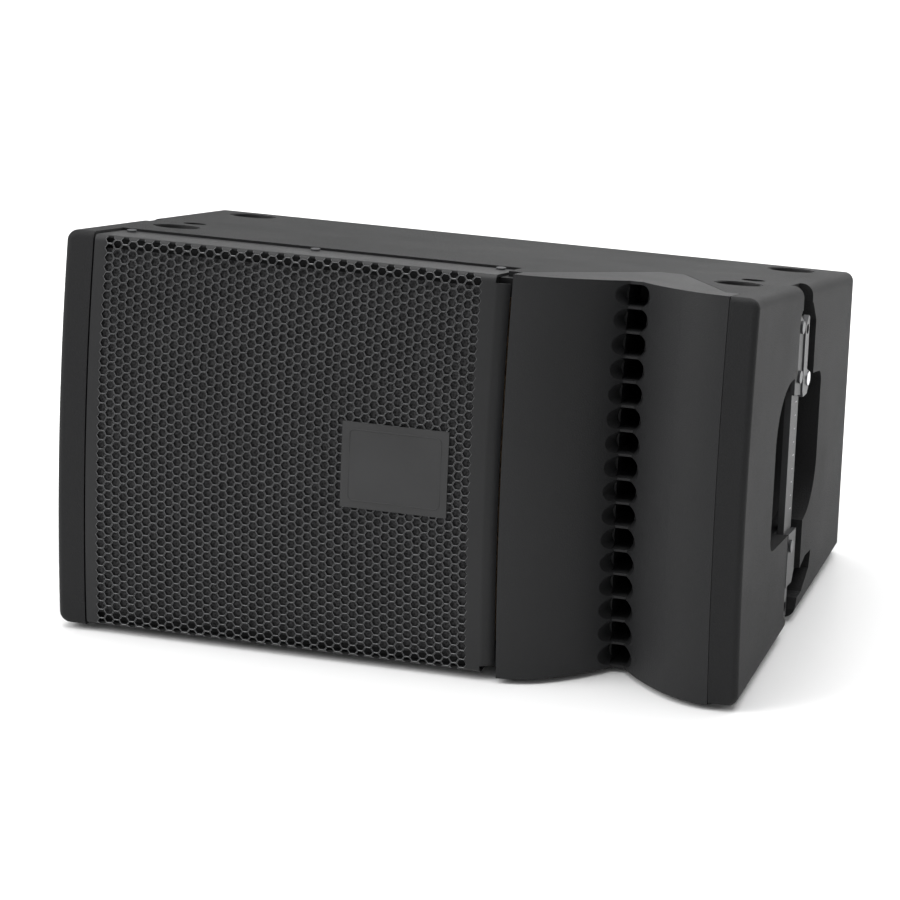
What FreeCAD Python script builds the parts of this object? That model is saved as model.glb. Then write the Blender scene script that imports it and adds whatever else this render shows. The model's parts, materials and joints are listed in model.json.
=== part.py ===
import FreeCAD, Part
import math
import os
import Sketcher
from FreeCAD import Placement, Rotation, Vector

# Line array speaker: a wedge-shaped two-way element that lies on its bottom face.
#
# Everything is drawn in the cabinet's own frame: X to the right as seen from the front, Y back from the
# chord of the bowed front, Z up from the mid-plane of the wedge. At the end each piece is placed in the
# row frame: the wedge is tilted so that its bottom face is level, and the origin is at the centre of the
# footprint, on the surface that the feet rest on. The front faces -Y.

doc = FreeCAD.newDocument("line_array_speaker")
sheet = doc.addObject("Spreadsheet::Sheet", "sizes")
pieces = []
row_number = 0


class Size:
    """A number together with the sheet expression that gives it."""

    def __init__(self, value, text):
        self.value = float(value)
        self.text = text

    def __add__(self, other):
        other = size(other)
        return Size(self.value + other.value, f"({self.text} + {other.text})")

    def __sub__(self, other):
        other = size(other)
        return Size(self.value - other.value, f"({self.text} - {other.text})")

    def __mul__(self, other):
        other = size(other)
        return Size(self.value * other.value, f"({self.text} * {other.text})")

    def __truediv__(self, other):
        other = size(other)
        return Size(self.value / other.value, f"({self.text} / {other.text})")

    def __neg__(self):
        return Size(-self.value, f"(0 - {self.text})")

    def __radd__(self, other):
        return size(other) + self

    def __rsub__(self, other):
        return size(other) - self

    def __rmul__(self, other):
        return size(other) * self

    def __rtruediv__(self, other):
        return size(other) / self

    def __float__(self):
        return self.value


def size(number):
    """Turns a plain number into a Size."""
    if isinstance(number, Size):
        return number
    return Size(number, f"({number})")


def root(number):
    return Size(math.sqrt(number.value), f"sqrt({number.text})")


def sine(degrees):
    return Size(math.sin(math.radians(degrees.value)), f"sin({degrees.text})")


def cosine(degrees):
    return Size(math.cos(math.radians(degrees.value)), f"cos({degrees.text})")


def tangent(degrees):
    return Size(math.tan(math.radians(degrees.value)), f"tan({degrees.text})")


def driving(alias, value, note):
    """Writes one driving dimension to the sheet and returns it."""
    global row_number
    row_number += 1
    sheet.set(f"A{row_number}", note)
    sheet.set(f"B{row_number}", str(value))
    sheet.setAlias(f"B{row_number}", alias)
    return Size(value, f"sizes.{alias}")


# ---------------------------------------------------------------- driving dimensions, mm and degrees

cab_width = driving("cab_width", 435.0, "overall width")
cab_height = driving("cab_height", 250.0, "height of the front")
cab_depth = driving("cab_depth", 268.0, "front chord to rear face")
taper = driving("taper", 7.3, "slope of the top and of the bottom face")
front_bow = driving("front_bow", 8.2, "rise of the bowed front over its chord")
side_wall = driving("side_wall", 18.0, "thickness of a side panel")
panel_wall = driving("panel_wall", 15.0, "thickness of the top, bottom, rear and baffle panels")
long_edge_radius = driving("long_edge_radius", 7.0, "rounding of a side panel's top, bottom and rear edges")
front_edge_radius = driving("front_edge_radius", 4.0, "rounding of a side panel's front edge")
joint_gap = driving("joint_gap", 0.1, "glue gap between cabinet panels")

horn_width = driving("horn_width", 132.0, "width of the horn moulding")
seam_gap = driving("seam_gap", 1.0, "open seam beside the grille at the left cheek")
horn_seam = driving("horn_seam", 2.4, "open seam between the grille and the horn moulding")
mould_gap = driving("mould_gap", 0.3, "clearance round the horn moulding")
throat_depth = driving("throat_depth", 38.0, "mouth to throat")
throat_half = driving("throat_half", 4.0, "half the width of the throat slot")
flare_run = driving("flare_run", 30.0, "width of one curved lip of the flare")
flare_drop = driving("flare_drop", 9.5, "depth at which the curved lip turns into the steeper part")
flare_wall_bow = driving("flare_wall_bow", 1.8, "rise of the flare's steeper part over its chord")
flare_lip_bow = driving("flare_lip_bow", 2.0, "rise of the curved lip over its chord")
cell_count = driving("cell_count", 16, "cells in the throat column")
cell_gap = driving("cell_gap", 1.4, "thinnest part of a fin between two cells")
cell_width = driving("cell_width", 21.5, "width of a throat cell's scooped mouth")
cell_core = driving("cell_core", 12.4, "width of a throat cell's straight part")
cell_scoop = driving("cell_scoop", 15.0, "depth of a throat cell's scooped mouth")
cell_draft = driving("cell_draft", 12.0, "draft angle of a throat cell's scooped mouth")
cell_fan = driving("cell_fan", 14.9, "angle which the column of cells spans")
cell_start = driving("cell_start", 22.0, "distance behind the front's chord at which the throat cells begin")
cell_end = driving("cell_end", 66.0, "distance behind the front's chord at which the throat cells end")
notch_land = driving("notch_land", 25.0, "depth at which the horn moulding starts to narrow")
notch_apex = driving("notch_apex", 123.0, "depth of the horn moulding's rear end")
notch_apex_half = driving("notch_apex_half", 8.0, "half the width of the horn moulding's rear end")
notch_step = driving("notch_step", 8.0, "step in the horn moulding's right flank")
boss_radius = driving("boss_radius", 32.0, "radius of the boss that carries the high-frequency driver")
hf_throat_radius = driving("hf_throat_radius", 12.7, "radius of the driver's exit")

grille_sheet = driving("grille_sheet", 1.5, "grille sheet thickness")
grille_step = driving("grille_step", 1.5, "grille flange below the top face")
grille_bend = driving("grille_bend", 4.0, "outer bend radius of the grille")
ledge_depth = driving("ledge_depth", 49.6, "depth of the ledge that takes the grille flange")
ledge_gap = driving("ledge_gap", 0.3, "clearance round the grille flange")
grille_turn_run = driving("grille_turn_run", 7.0, "width of the grille's turned-back right edge")
grille_turn_drop = driving("grille_turn_drop", 5.0, "depth of the grille's turned-back right edge")
foam_sheet = driving("foam_sheet", 3.0, "grille foam thickness")
badge_width = driving("badge_width", 67.5, "badge plate width")
badge_height = driving("badge_height", 53.5, "badge plate height")
badge_x = driving("badge_x", 0.4, "badge plate centre, across")
badge_z = driving("badge_z", -0.2, "badge plate centre, up")
badge_proud = driving("badge_proud", 0.4, "badge plate proud of the grille")

channel_front = driving("channel_front", 120.0, "front wall of the rigging channel")
channel_width = driving("channel_width", 25.0, "width of the rigging channel")
channel_depth = driving("channel_depth", 9.0, "depth of the rigging channel")
recess_front = driving("recess_front", 113.5, "front wall of the wide part of the channel")
recess_rear = driving("recess_rear", 158.0, "rear wall of the wide part of the channel")
recess_top = driving("recess_top", 95.0, "upper end of the wide part of the channel")
pocket_front = driving("pocket_front", 65.5, "front of the hand pocket")
pocket_rear = driving("pocket_rear", 182.0, "rear of the hand pocket")
pocket_top = driving("pocket_top", 60.0, "upper front corner of the hand pocket")
pocket_bottom = driving("pocket_bottom", 45.5, "hand pocket below the mid-plane")
pocket_depth = driving("pocket_depth", 36.0, "depth of the hand pocket")
pocket_large_radius = driving("pocket_large_radius", 36.0, "large corner radius of the hand pocket")
pocket_small_radius = driving("pocket_small_radius", 8.0, "small corner radius of the hand pocket")
cup_wall = driving("cup_wall", 2.5, "wall of the hand pocket's cup")

rail_width = driving("rail_width", 19.0, "width of the grip and rigging bar")
rail_front = driving("rail_front", 122.5, "front edge of the grip and rigging bar")
rail_face = driving("rail_face", 4.8, "face of the bar below the side face")
rail_thickness = driving("rail_thickness", 4.0, "thickness of the bar")
plate_thickness = driving("plate_thickness", 2.8, "thickness of the plates on the bar")
link_face = driving("link_face", 1.0, "face of the sliding link below the side face")
link_thickness = driving("link_thickness", 3.4, "thickness of the sliding link")
link_travel = driving("link_travel", 37.5, "travel of the sliding link")
link_hole_radius = driving("link_hole_radius", 3.1, "radius of the coupling holes")
pin_radius = driving("pin_radius", 3.0, "radius of the link's pull pin")
pin_clearance = driving("pin_clearance", 0.05, "running clearance of the pull pin")
rail_screw_radius = driving("rail_screw_radius", 2.4, "shaft radius of a rigging screw")
screw_clearance = driving("screw_clearance", 0.1, "clearance of a drilled screw hole")

foot_radius = driving("foot_radius", 13.0, "rubber foot radius")
foot_height = driving("foot_height", 3.0, "rubber foot height")
foot_cup_radius = driving("foot_cup_radius", 15.0, "radius of a stacking cup in the top")
foot_cup_depth = driving("foot_cup_depth", 6.0, "depth of a stacking cup")
foot_cup_wall = driving("foot_cup_wall", 1.2, "wall of a stacking cup")
foot_inset = driving("foot_inset", 36.0, "foot centre from the side face")
foot_front_y = driving("foot_front_y", 96.5, "front feet, depth")
foot_rear_y = driving("foot_rear_y", 240.0, "rear feet, depth")
anchor_y = driving("anchor_y", 132.0, "panel anchor screws, depth")
anchor_hole_radius = driving("anchor_hole_radius", 7.3, "radius of an anchor screw's counterbore")

woofer_radius = driving("woofer_radius", 104.0, "outer radius of the woofer's basket")
woofer_cutout = driving("woofer_cutout", 92.0, "radius of the baffle cut-out")
baffle_front = driving("baffle_front", 20.0, "depth of the baffle's front face")
woofer_flange = driving("woofer_flange", 4.0, "thickness of the basket's flange")
gasket_sheet = driving("gasket_sheet", 0.8, "gasket thickness")
seat_depth = driving("seat_depth", 50.0, "basket flange to magnet seat")
seat_sheet = driving("seat_sheet", 3.5, "thickness of the basket's magnet seat")
coil_radius = driving("coil_radius", 25.4, "voice coil former inner radius")
coil_gap = driving("coil_gap", 0.8, "radial clearance of the voice coil in its gap")
top_plate_thickness = driving("top_plate_thickness", 6.0, "woofer top plate thickness")
magnet_thickness = driving("magnet_thickness", 16.0, "woofer magnet thickness")
magnet_radius = driving("magnet_radius", 60.0, "woofer magnet radius")
back_plate_thickness = driving("back_plate_thickness", 6.0, "woofer back plate thickness")
cone_outer = driving("cone_outer", 76.0, "cone radius at the surround")
cone_depth = driving("cone_depth", 28.0, "depth of the cone")
cone_sheet = driving("cone_sheet", 1.4, "cone thickness, along the axis")

hf_radius = driving("hf_radius", 42.0, "high-frequency driver radius")
hf_plate = driving("hf_plate", 6.0, "high-frequency driver front plate thickness")
hf_magnet_length = driving("hf_magnet_length", 26.0, "high-frequency driver magnet length")
hf_cap_length = driving("hf_cap_length", 14.0, "high-frequency driver rear cap length")
dome_radius = driving("dome_radius", 22.0, "high-frequency dome radius")

# ---------------------------------------------------------------- worked-out dimensions

slope = tangent(taper)
half_height = cab_height / 2
half_width = cab_width / 2
inner_x = half_width - side_wall
rear_inner = cab_depth - panel_wall
bow_radius = (half_height * half_height + front_bow * front_bow) / (front_bow * 2)
bow_centre = bow_radius - front_bow
horn_right = inner_x - mould_gap
horn_left = horn_right - horn_width
horn_x = (horn_left + horn_right) / 2
grille_left = seam_gap - inner_x
grille_right = horn_left - horn_seam
grille_flat_right = grille_right - grille_turn_run
woofer_x = (horn_left - inner_x) / 2
flank_half = horn_width / 2


def top_z(y, below=0):
    """Height of the top face at depth y, or of a plane that much below it."""
    return half_height - slope * y - below


# ---------------------------------------------------------------- drawing helpers


def bind(item, path, number):
    item.setExpression(path, size(number).text)


def new_body(label):
    body = doc.addObject("PartDesign::Body", label)
    body.Label = label
    return body


def add_sketch(body, role, offset=(0, 0, 0)):
    """A sketch on one of the body's origin planes, moved by offset in the plane's own axes."""
    plane = [item for item in body.Origin.OriginFeatures if item.Role == role][0]
    sketch = body.newObject("Sketcher::SketchObject", f"{body.Label}_sketch")
    sketch.AttachmentSupport = [(plane, "")]
    sketch.MapMode = "FlatFace"
    for axis, number in zip("xyz", offset):
        bind(sketch, f"AttachmentOffset.Base.{axis}", number)
    return sketch


def fix_point(sketch, geometry, position, x, y):
    for kind, number in (("DistanceX", x), ("DistanceY", y)):
        constraint = Sketcher.Constraint(kind, -1, 1, geometry, position, float(number))
        bind(sketch, f"Constraints[{sketch.addConstraint(constraint)}]", number)


def outline(sketch, corners):
    """A closed outline. A corner is (x, y), or (x, y, bow) where the side that starts there is an arc
    which rises by bow over its chord, to the right of the way the outline runs when bow is positive."""
    corners = [tuple(size(number) for number in corner) for corner in corners]
    ends = []
    for this, following in zip(corners, corners[1:] + corners[:1]):
        start = Vector(float(this[0]), float(this[1]), 0)
        end = Vector(float(following[0]), float(following[1]), 0)
        if len(this) == 2:
            index = sketch.addGeometry(Part.LineSegment(start, end), False)
            ends.append((index, 1, 2))
            continue
        bow = this[2]
        along = end - start
        right = Vector(along.y, -along.x, 0).normalize()
        middle = (start + end) * 0.5 + right * float(bow)
        index = sketch.addGeometry(Part.Arc(start, middle, end), False)
        first_gap = sketch.getPoint(index, 1).distanceToPoint(start)
        last_gap = sketch.getPoint(index, 2).distanceToPoint(start)
        forward = first_gap < last_gap
        ends.append((index, 1, 2) if forward else (index, 2, 1))
        chord_x = following[0] - this[0]
        chord_y = following[1] - this[1]
        chord_squared = chord_x * chord_x + chord_y * chord_y
        radius = (chord_squared / 4 + bow * bow) / (bow * 2)
        if float(bow) < 0:
            radius = -radius
        constraint = Sketcher.Constraint("Radius", index, float(radius))
        bind(sketch, f"Constraints[{sketch.addConstraint(constraint)}]", radius)
    for (index, first, last), (next_index, next_first, next_last) in zip(ends, ends[1:] + ends[:1]):
        sketch.addConstraint(Sketcher.Constraint("Coincident", index, last, next_index, next_first))
    for (index, first, last), corner in zip(ends, corners):
        fix_point(sketch, index, first, corner[0], corner[1])


def rectangle(sketch, low_x, low_y, high_x, high_y):
    outline(sketch, [(low_x, low_y), (high_x, low_y), (high_x, high_y), (low_x, high_y)])


def circle(sketch, x, y, radius):
    shape = Part.Circle(Vector(float(x), float(y), 0), Vector(0, 0, 1), float(radius))
    index = sketch.addGeometry(shape, False)
    fix_point(sketch, index, 3, x, y)
    constraint = Sketcher.Constraint("Radius", index, float(radius))
    bind(sketch, f"Constraints[{sketch.addConstraint(constraint)}]", radius)


def pad(body, sketch, length, backwards=False):
    feature = body.newObject("PartDesign::Pad", f"{body.Label}_pad")
    feature.Profile = sketch
    bind(feature, "Length", length)
    feature.Reversed = backwards
    return feature


def pocket(body, sketch, length, backwards=False):
    feature = body.newObject("PartDesign::Pocket", f"{body.Label}_pocket")
    feature.Profile = sketch
    bind(feature, "Length", length)
    feature.Reversed = backwards
    return feature


def fillet(body, wanted, radius):
    """Rounds the edges of the body that the function wanted picks."""
    doc.recompute()
    base = body.Tip
    names = [f"Edge{n}" for n, edge in enumerate(base.Shape.Edges, start=1) if wanted(edge)]
    if not names:
        raise RuntimeError(f"{body.Label} has no edge to round")
    feature = body.newObject("PartDesign::Fillet", f"{body.Label}_fillet")
    feature.Base = (base, names)
    bind(feature, "Radius", radius)
    return feature


def near(edge, **where):
    """True where the middle of the edge's box is at the given x, y or z, within half a millimetre."""
    centre = edge.BoundBox.Center
    return all(abs(getattr(centre, axis) - float(number)) < 0.5 for axis, number in where.items())


def along_x(edge):
    box = edge.BoundBox
    return box.XLength > 1 and box.YLength < 0.01 and box.ZLength < 0.01


def slab(label, low_x, high_x, low_y, high_y, inset=0):
    """A panel between two depths and two widths that fills the wedge, inset from its two faces."""
    body = new_body(label)
    sketch = add_sketch(body, "YZ_Plane", (0, 0, low_x))
    outline(sketch, [
        (low_y, -top_z(low_y, inset)), (high_y, -top_z(high_y, inset)),
        (high_y, top_z(high_y, inset)), (low_y, top_z(low_y, inset)),
    ])
    pad(body, sketch, high_x - low_x)
    return body


def turned(label, x, corners):
    """A turned piece about an axis along Y at width x. A corner is (radius, depth)."""
    body = new_body(label)
    add_turn(body, x, corners)
    return keep(body)


def add_turn(body, x, corners):
    sketch = add_sketch(body, "XY_Plane", (x, 0, 0))
    outline(sketch, corners)
    feature = body.newObject("PartDesign::Revolution", f"{body.Label}_turn")
    feature.Profile = sketch
    feature.ReferenceAxis = (sketch, ["V_Axis"])
    feature.Angle = 360.0
    return feature


def dome_bow(radius, height):
    """The bow of an outline's side which runs from a dome's top, on its axis, to its edge."""
    ball = (radius * radius + height * height) / (height * 2)
    chord_squared = radius * radius + height * height
    return ball - root(ball * ball - chord_squared / 4)


def side_sketch(body, side, below):
    """A sketch parallel to a side face, that much below it. Side is +1 for the right, -1 for the left."""
    return add_sketch(body, "YZ_Plane", (0, 0, (half_width - below) * side))


def side_plate(label, side, below, thickness, corners, holes=()):
    """A flat plate in a side channel, with holes given as (y, z, radius)."""
    body = new_body(label)
    sketch = side_sketch(body, side, below)
    outline(sketch, corners)
    for y, z, radius in holes:
        circle(sketch, y, z, radius)
    pad(body, sketch, thickness, backwards=side > 0)
    return keep(body)


def side_pocket(body, side, below, depth, draw):
    sketch = side_sketch(body, side, below)
    draw(sketch)
    return pocket(body, sketch, depth, backwards=side < 0)


def rod(name, start, radius, length, turn=None):
    """A cylinder primitive from start, along Z unless turn gives its rotation."""
    item = doc.addObject("Part::Cylinder", name)
    bind(item, "Radius", radius)
    bind(item, "Height", length)
    if turn:
        item.Placement = Placement(Vector(), turn)
    for axis, number in zip("xyz", start):
        bind(item, f"Placement.Base.{axis}", number)
    return item


def joined(name, items):
    item = doc.addObject("Part::MultiFuse", name)
    item.Shapes = items
    return item


def less(name, base, tools):
    item = doc.addObject("Part::Cut", name)
    item.Base = base
    item.Tool = tools[0] if len(tools) == 1 else joined(f"{name}_tools", tools)
    return item


def group(label, items):
    """Identical or related loose solids that share one node."""
    item = doc.addObject("Part::Compound", label)
    item.Links = items
    item.Label = label
    return keep(item)


def keep(item):
    pieces.append(item)
    return item


TO_X = Rotation(Vector(0, 1, 0), 90)
TO_MINUS_X = Rotation(Vector(0, 1, 0), -90)
TO_Y = Rotation(Vector(1, 0, 0), -90)
OUT_OF_TOP = Rotation(Vector(1, 0, 0), -float(taper))
OUT_OF_BOTTOM = Rotation(Vector(1, 0, 0), 180 + float(taper))


# ---------------------------------------------------------------- side panels

channel_rear = channel_front + channel_width
recess_low_front = recess_top - 5
lower_recess_rear = channel_rear + 7
pocket_slant = slope * (pocket_rear - pocket_front)
rail_screws = [
    (rail_front + 3.5, size(83)),
    (rail_front + 3.5, size(52)),
    (rail_front + 6, size(-56)),
    (rail_front + 6, size(-88)),
]


def pocket_outline(grow):
    """Corners of the hand pocket, moved out by grow: upper front, upper rear, lower rear, lower front."""
    return [
        (pocket_front - grow, pocket_top + grow),
        (pocket_rear + grow, pocket_top - pocket_slant + grow),
        (pocket_rear + grow, -pocket_bottom - grow),
        (pocket_front - grow, -pocket_bottom - grow),
    ]


def round_pocket(body, corners, x, grow):
    """Rounds the four corners of the hand pocket: two large, opposite each other, and two small."""
    for at, radius in zip(corners, (
        pocket_large_radius + grow, pocket_small_radius + grow,
        pocket_large_radius + grow, pocket_small_radius + grow,
    )):
        fillet(body, lambda edge: along_x(edge) and near(edge, x=x, y=at[0], z=at[1]), radius)


def side_panel(label, side):
    body = new_body(label)
    sketch = side_sketch(body, side, 0)
    outline(sketch, [
        (0, -half_height),
        (cab_depth, -top_z(cab_depth)),
        (cab_depth, top_z(cab_depth)),
        (0, half_height, front_bow),
    ])
    pad(body, sketch, side_wall, backwards=side > 0)

    def outer(edge):
        box = edge.BoundBox
        return box.XLength < 0.01 and abs(box.XMin - side * float(half_width)) < 0.01

    fillet(body, lambda edge: outer(edge) and edge.BoundBox.YMax > 1, long_edge_radius)
    fillet(body, lambda edge: outer(edge) and edge.BoundBox.YMax < 1, front_edge_radius)
    hand = pocket_outline(0)
    side_pocket(body, side, 0, side_wall, lambda s: outline(s, hand))
    round_pocket(body, hand, (half_width - side_wall / 2) * side, 0)
    side_pocket(body, side, 0, channel_depth, lambda s: rectangle(
        s, channel_front, -half_height, channel_rear, half_height))
    side_pocket(body, side, 0, channel_depth, lambda s: outline(s, [
        (recess_front, 40), (recess_rear, 40), (recess_rear, recess_top - 13),
        (channel_rear + 2, recess_top), (recess_front + 4.5, recess_top), (recess_front, recess_low_front),
    ]))
    side_pocket(body, side, 0, channel_depth, lambda s: outline(s, [
        (recess_front, -40), (recess_front, -recess_top - 1), (recess_front + 5, -recess_top - 6),
        (channel_rear, -recess_top - 6), (lower_recess_rear, -recess_top + 5), (lower_recess_rear, -40),
    ]))
    side_pocket(body, side, 0, side_wall - 4, lambda s: outline(s, [
        (channel_rear - 7, -96), (channel_rear + 1, -78), (channel_rear + 21, -71),
        (channel_rear + 36, -71), (channel_rear + 33, -82), (channel_rear + 15, -93),
    ]))

    def screw_holes(s):
        for y, z in rail_screws:
            circle(s, y, z, rail_screw_radius + screw_clearance)

    side_pocket(body, side, channel_depth, side_wall - channel_depth - 1, screw_holes)
    return keep(body)


side_panel("left_side_panel", -1)
side_panel("right_side_panel", 1)

# ---------------------------------------------------------------- top, bottom, rear, baffle and brace

panel_low_x = joint_gap - inner_x
panel_high_x = inner_x - joint_gap
notch_left = horn_left - mould_gap
notch_right = inner_x - joint_gap
grille_screw_x = [grille_left + 8.5, (grille_left + grille_flat_right) / 2, grille_flat_right - 10]
grille_screw_y = size(40)
grille_screw_radius = size(1.7)
foot_places = [
    (half_width * side - foot_inset * side, y) for side in (-1, 1) for y in (foot_front_y, foot_rear_y)
]
anchor_places = [((half_width - 35) * side, anchor_y) for side in (-1, 1)]


def notch_slope(half):
    return (half - notch_apex_half) / (notch_apex - notch_land)


def level_panel(label, side):
    """The top (side +1) or bottom (side -1) panel, with the ledge for the grille's flange, the notch
    for the horn moulding, the drilled holes and, in the top, the cups for the feet of the next cabinet."""
    body = new_body(label)
    sketch = add_sketch(body, "YZ_Plane", (0, 0, panel_low_x))
    front = grille_sheet + grille_bend
    back = cab_depth
    outline(sketch, [
        (front, top_z(front, panel_wall) * side), (back, top_z(back, panel_wall) * side),
        (back, top_z(back) * side), (front, top_z(front) * side),
    ])
    pad(body, sketch, panel_high_x - panel_low_x)
    ledge = add_sketch(body, "YZ_Plane", (0, 0, panel_low_x))
    sunk = grille_step + grille_sheet + ledge_gap
    outline(ledge, [
        (0, top_z(0, sunk) * side), (ledge_depth, top_z(ledge_depth, sunk) * side),
        (ledge_depth, (top_z(ledge_depth) + 2) * side), (0, (half_height + 2) * side),
    ])
    pocket(body, ledge, grille_flat_right + 0.8 - panel_low_x, backwards=True)
    tip = add_sketch(body, "YZ_Plane", (0, 0, grille_flat_right))
    outline(tip, [
        (0, top_z(0, sunk) * side), (notch_land - 5, top_z(notch_land - 5, sunk) * side),
        (notch_land - 5, (top_z(notch_land - 5) + 2) * side), (0, (half_height + 2) * side),
    ])
    pocket(body, tip, notch_left - grille_flat_right, backwards=True)
    clear = add_sketch(body, "XY_Plane", (0, 0, -half_height))
    rectangle(clear, grille_flat_right - 2, 0, notch_left, grille_turn_drop + grille_sheet + 2)
    pocket(body, clear, cab_height, backwards=True)
    notch = add_sketch(body, "XY_Plane", (0, 0, -half_height))
    outline(notch, [
        (notch_left, 0), (panel_high_x + 1, 0), (panel_high_x + 1, notch_land + mould_gap),
        (horn_right - notch_step + mould_gap, notch_land + mould_gap),
        (horn_x + notch_apex_half + mould_gap, notch_apex + mould_gap),
        (horn_x - notch_apex_half - mould_gap, notch_apex + mould_gap),
        (notch_left, notch_land - 4),
    ])
    pocket(body, notch, cab_height, backwards=True)
    screws = add_sketch(body, "XY_Plane", (0, 0, half_height * side))
    for x in grille_screw_x:
        circle(screws, x, grille_screw_y, grille_screw_radius)
    pocket(body, screws, panel_wall + 6, backwards=side < 0)
    bores = [(anchor_places, anchor_hole_radius, 8)]
    if side > 0:
        bores.append((foot_places, foot_cup_radius, foot_cup_depth))
    doc.recompute()
    tools = []
    for places, radius, depth in bores:
        for x, y in places:
            turn = OUT_OF_TOP if side > 0 else OUT_OF_BOTTOM
            start = (x, y - sine(taper) * depth, (top_z(y) - cosine(taper) * depth) * side)
            tools.append(rod(f"{label}_bore", start, radius, depth + 3, turn))
    for x, y in anchor_places:
        turn = OUT_OF_TOP if side > 0 else OUT_OF_BOTTOM
        start = (x, y - sine(taper) * 16, (top_z(y) - cosine(taper) * 16) * side)
        tools.append(rod(f"{label}_shank", start, 3.2, 12, turn))
    body.Label = f"{label}_blank"
    result = less(label, body, tools)
    result.Label = label
    return keep(result)


level_panel("top_panel", 1)
level_panel("bottom_panel", -1)

bolt_circle = woofer_radius - 6
bolt_angles = [22.5 + 45 * number for number in range(8)]
bolt_places = [
    (bolt_circle * math.cos(math.radians(angle)), bolt_circle * math.sin(math.radians(angle)))
    for angle in bolt_angles
]
woofer_screw_radius = size(2.4)
plate_low_x = size(-48)
plate_high_x = size(48)
plate_half = size(34)
plate_sheet = size(2.5)
plate_sunk = size(4.5)
corner_x = (plate_low_x + 4, plate_high_x - 4)
corner_z = (4 - plate_half, plate_half - 4)
socket_x = (size(-21), size(21))
socket_radius = size(13.5)

rear = slab("rear_panel", panel_low_x, panel_high_x, rear_inner, cab_depth, panel_wall + joint_gap)
seat = add_sketch(rear, "XZ_Plane", (0, 0, -cab_depth))
rectangle(seat, plate_low_x - 0.3, -plate_half - 0.3, plate_high_x + 0.3, plate_half + 0.3)
pocket(rear, seat, plate_sunk, backwards=True)
window = add_sketch(rear, "XZ_Plane", (0, 0, -cab_depth))
rectangle(window, plate_low_x + 8, -plate_half + 8, plate_high_x - 8, plate_half - 8)
for x in corner_x:
    for z in corner_z:
        circle(window, x, z, 1.7)
pocket(rear, window, panel_wall, backwards=True)
keep(rear)

baffle_low_x = panel_low_x
baffle_high_x = notch_left - joint_gap
baffle_rear = baffle_front + panel_wall
baffle = slab("front_baffle", baffle_low_x, baffle_high_x, baffle_front, baffle_rear, panel_wall + joint_gap)
cutout = add_sketch(baffle, "XZ_Plane", (0, 0, -baffle_front))
circle(cutout, woofer_x, 0, woofer_cutout)
for x, z in bolt_places:
    circle(cutout, woofer_x + x, z, woofer_screw_radius + screw_clearance)
pocket(baffle, cutout, panel_wall)
keep(baffle)

brace_x = size(64)
brace_front = notch_apex + 8
brace = slab(
    "centre_brace", brace_x - 6, brace_x + 6, brace_front, rear_inner - joint_gap, panel_wall + joint_gap)
hole = add_sketch(brace, "YZ_Plane", (0, 0, brace_x - 6))
rectangle(hole, brace_front + 22, -58, rear_inner - 22, 58)
pocket(brace, hole, 12, backwards=True)
keep(brace)

# ---------------------------------------------------------------- feet, cups, anchor screws, damping


def foot(x, y):
    start = (x, y, -top_z(y))
    return rod("foot", start, foot_radius, foot_height, OUT_OF_BOTTOM)


def foot_cup(x, y):
    depth = foot_cup_depth - 0.2
    start = (x, y - sine(taper) * depth, top_z(y) - cosine(taper) * depth)
    outer = rod("cup_outer", start, foot_cup_radius - screw_clearance, depth - 0.4, OUT_OF_TOP)
    lift = foot_cup_wall
    inner_start = (x, y - sine(taper) * (depth - lift), top_z(y) - cosine(taper) * (depth - lift))
    inner = rod("cup_inner", inner_start, foot_cup_radius - foot_cup_wall - 0.1, depth, OUT_OF_TOP)
    return less("cup", outer, [inner])


def anchor_screw(x, y, side):
    """A cap screw that stands in its counterbore, with a hexagonal key socket in its head."""
    turn = OUT_OF_TOP if side > 0 else OUT_OF_BOTTOM
    foot_of_head = size(7.9)
    head_start = (x, y - sine(taper) * foot_of_head, (top_z(y) - cosine(taper) * foot_of_head) * side)
    head = rod("anchor_head", head_start, 5.6, 5, turn)
    shank_start = (x, y - sine(taper) * 14, (top_z(y) - cosine(taper) * 14) * side)
    shank = rod("anchor_shank", shank_start, 3.0, 7, turn)
    key_start = (x, y - sine(taper) * 5.4, (top_z(y) - cosine(taper) * 5.4) * side)
    key = doc.addObject("Part::Prism", "anchor_key")
    key.Polygon = 6
    bind(key, "Circumradius", 2.8)
    bind(key, "Height", 4)
    key.Placement = Placement(Vector(), turn)
    for axis, number in zip("xyz", key_start):
        bind(key, f"Placement.Base.{axis}", number)
    return less("anchor", joined("anchor_solid", [head, shank]), [key])


group("rubber_feet", [foot(x, y) for x, y in foot_places])
group("stacking_cups", [foot_cup(x, y) for x, y in foot_places])
group("panel_anchor_screws", [anchor_screw(x, y, side) for x, y in anchor_places for side in (-1, 1)])


def damping_pad(name, side):
    body = new_body(name)
    sketch = add_sketch(body, "YZ_Plane", (0, 0, -150))
    outline(sketch, [
        (120, top_z(120, panel_wall + 20.5) * side), (238, top_z(238, panel_wall + 20.5) * side),
        (238, top_z(238, panel_wall + 0.5) * side), (120, top_z(120, panel_wall + 0.5) * side),
    ])
    pad(body, sketch, brace_x + 150 - 16)
    return body


group("damping_pads", [damping_pad("upper_pad", 1), damping_pad("lower_pad", -1)])

# ---------------------------------------------------------------- grille

grille_half = half_height - grille_step
flange_end = ledge_depth - ledge_gap


def flange_z(y, deep):
    """Height of the grille flange's face at depth y, or of a plane that much inside it."""
    return grille_half - slope * y - deep / cosine(taper)


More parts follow.
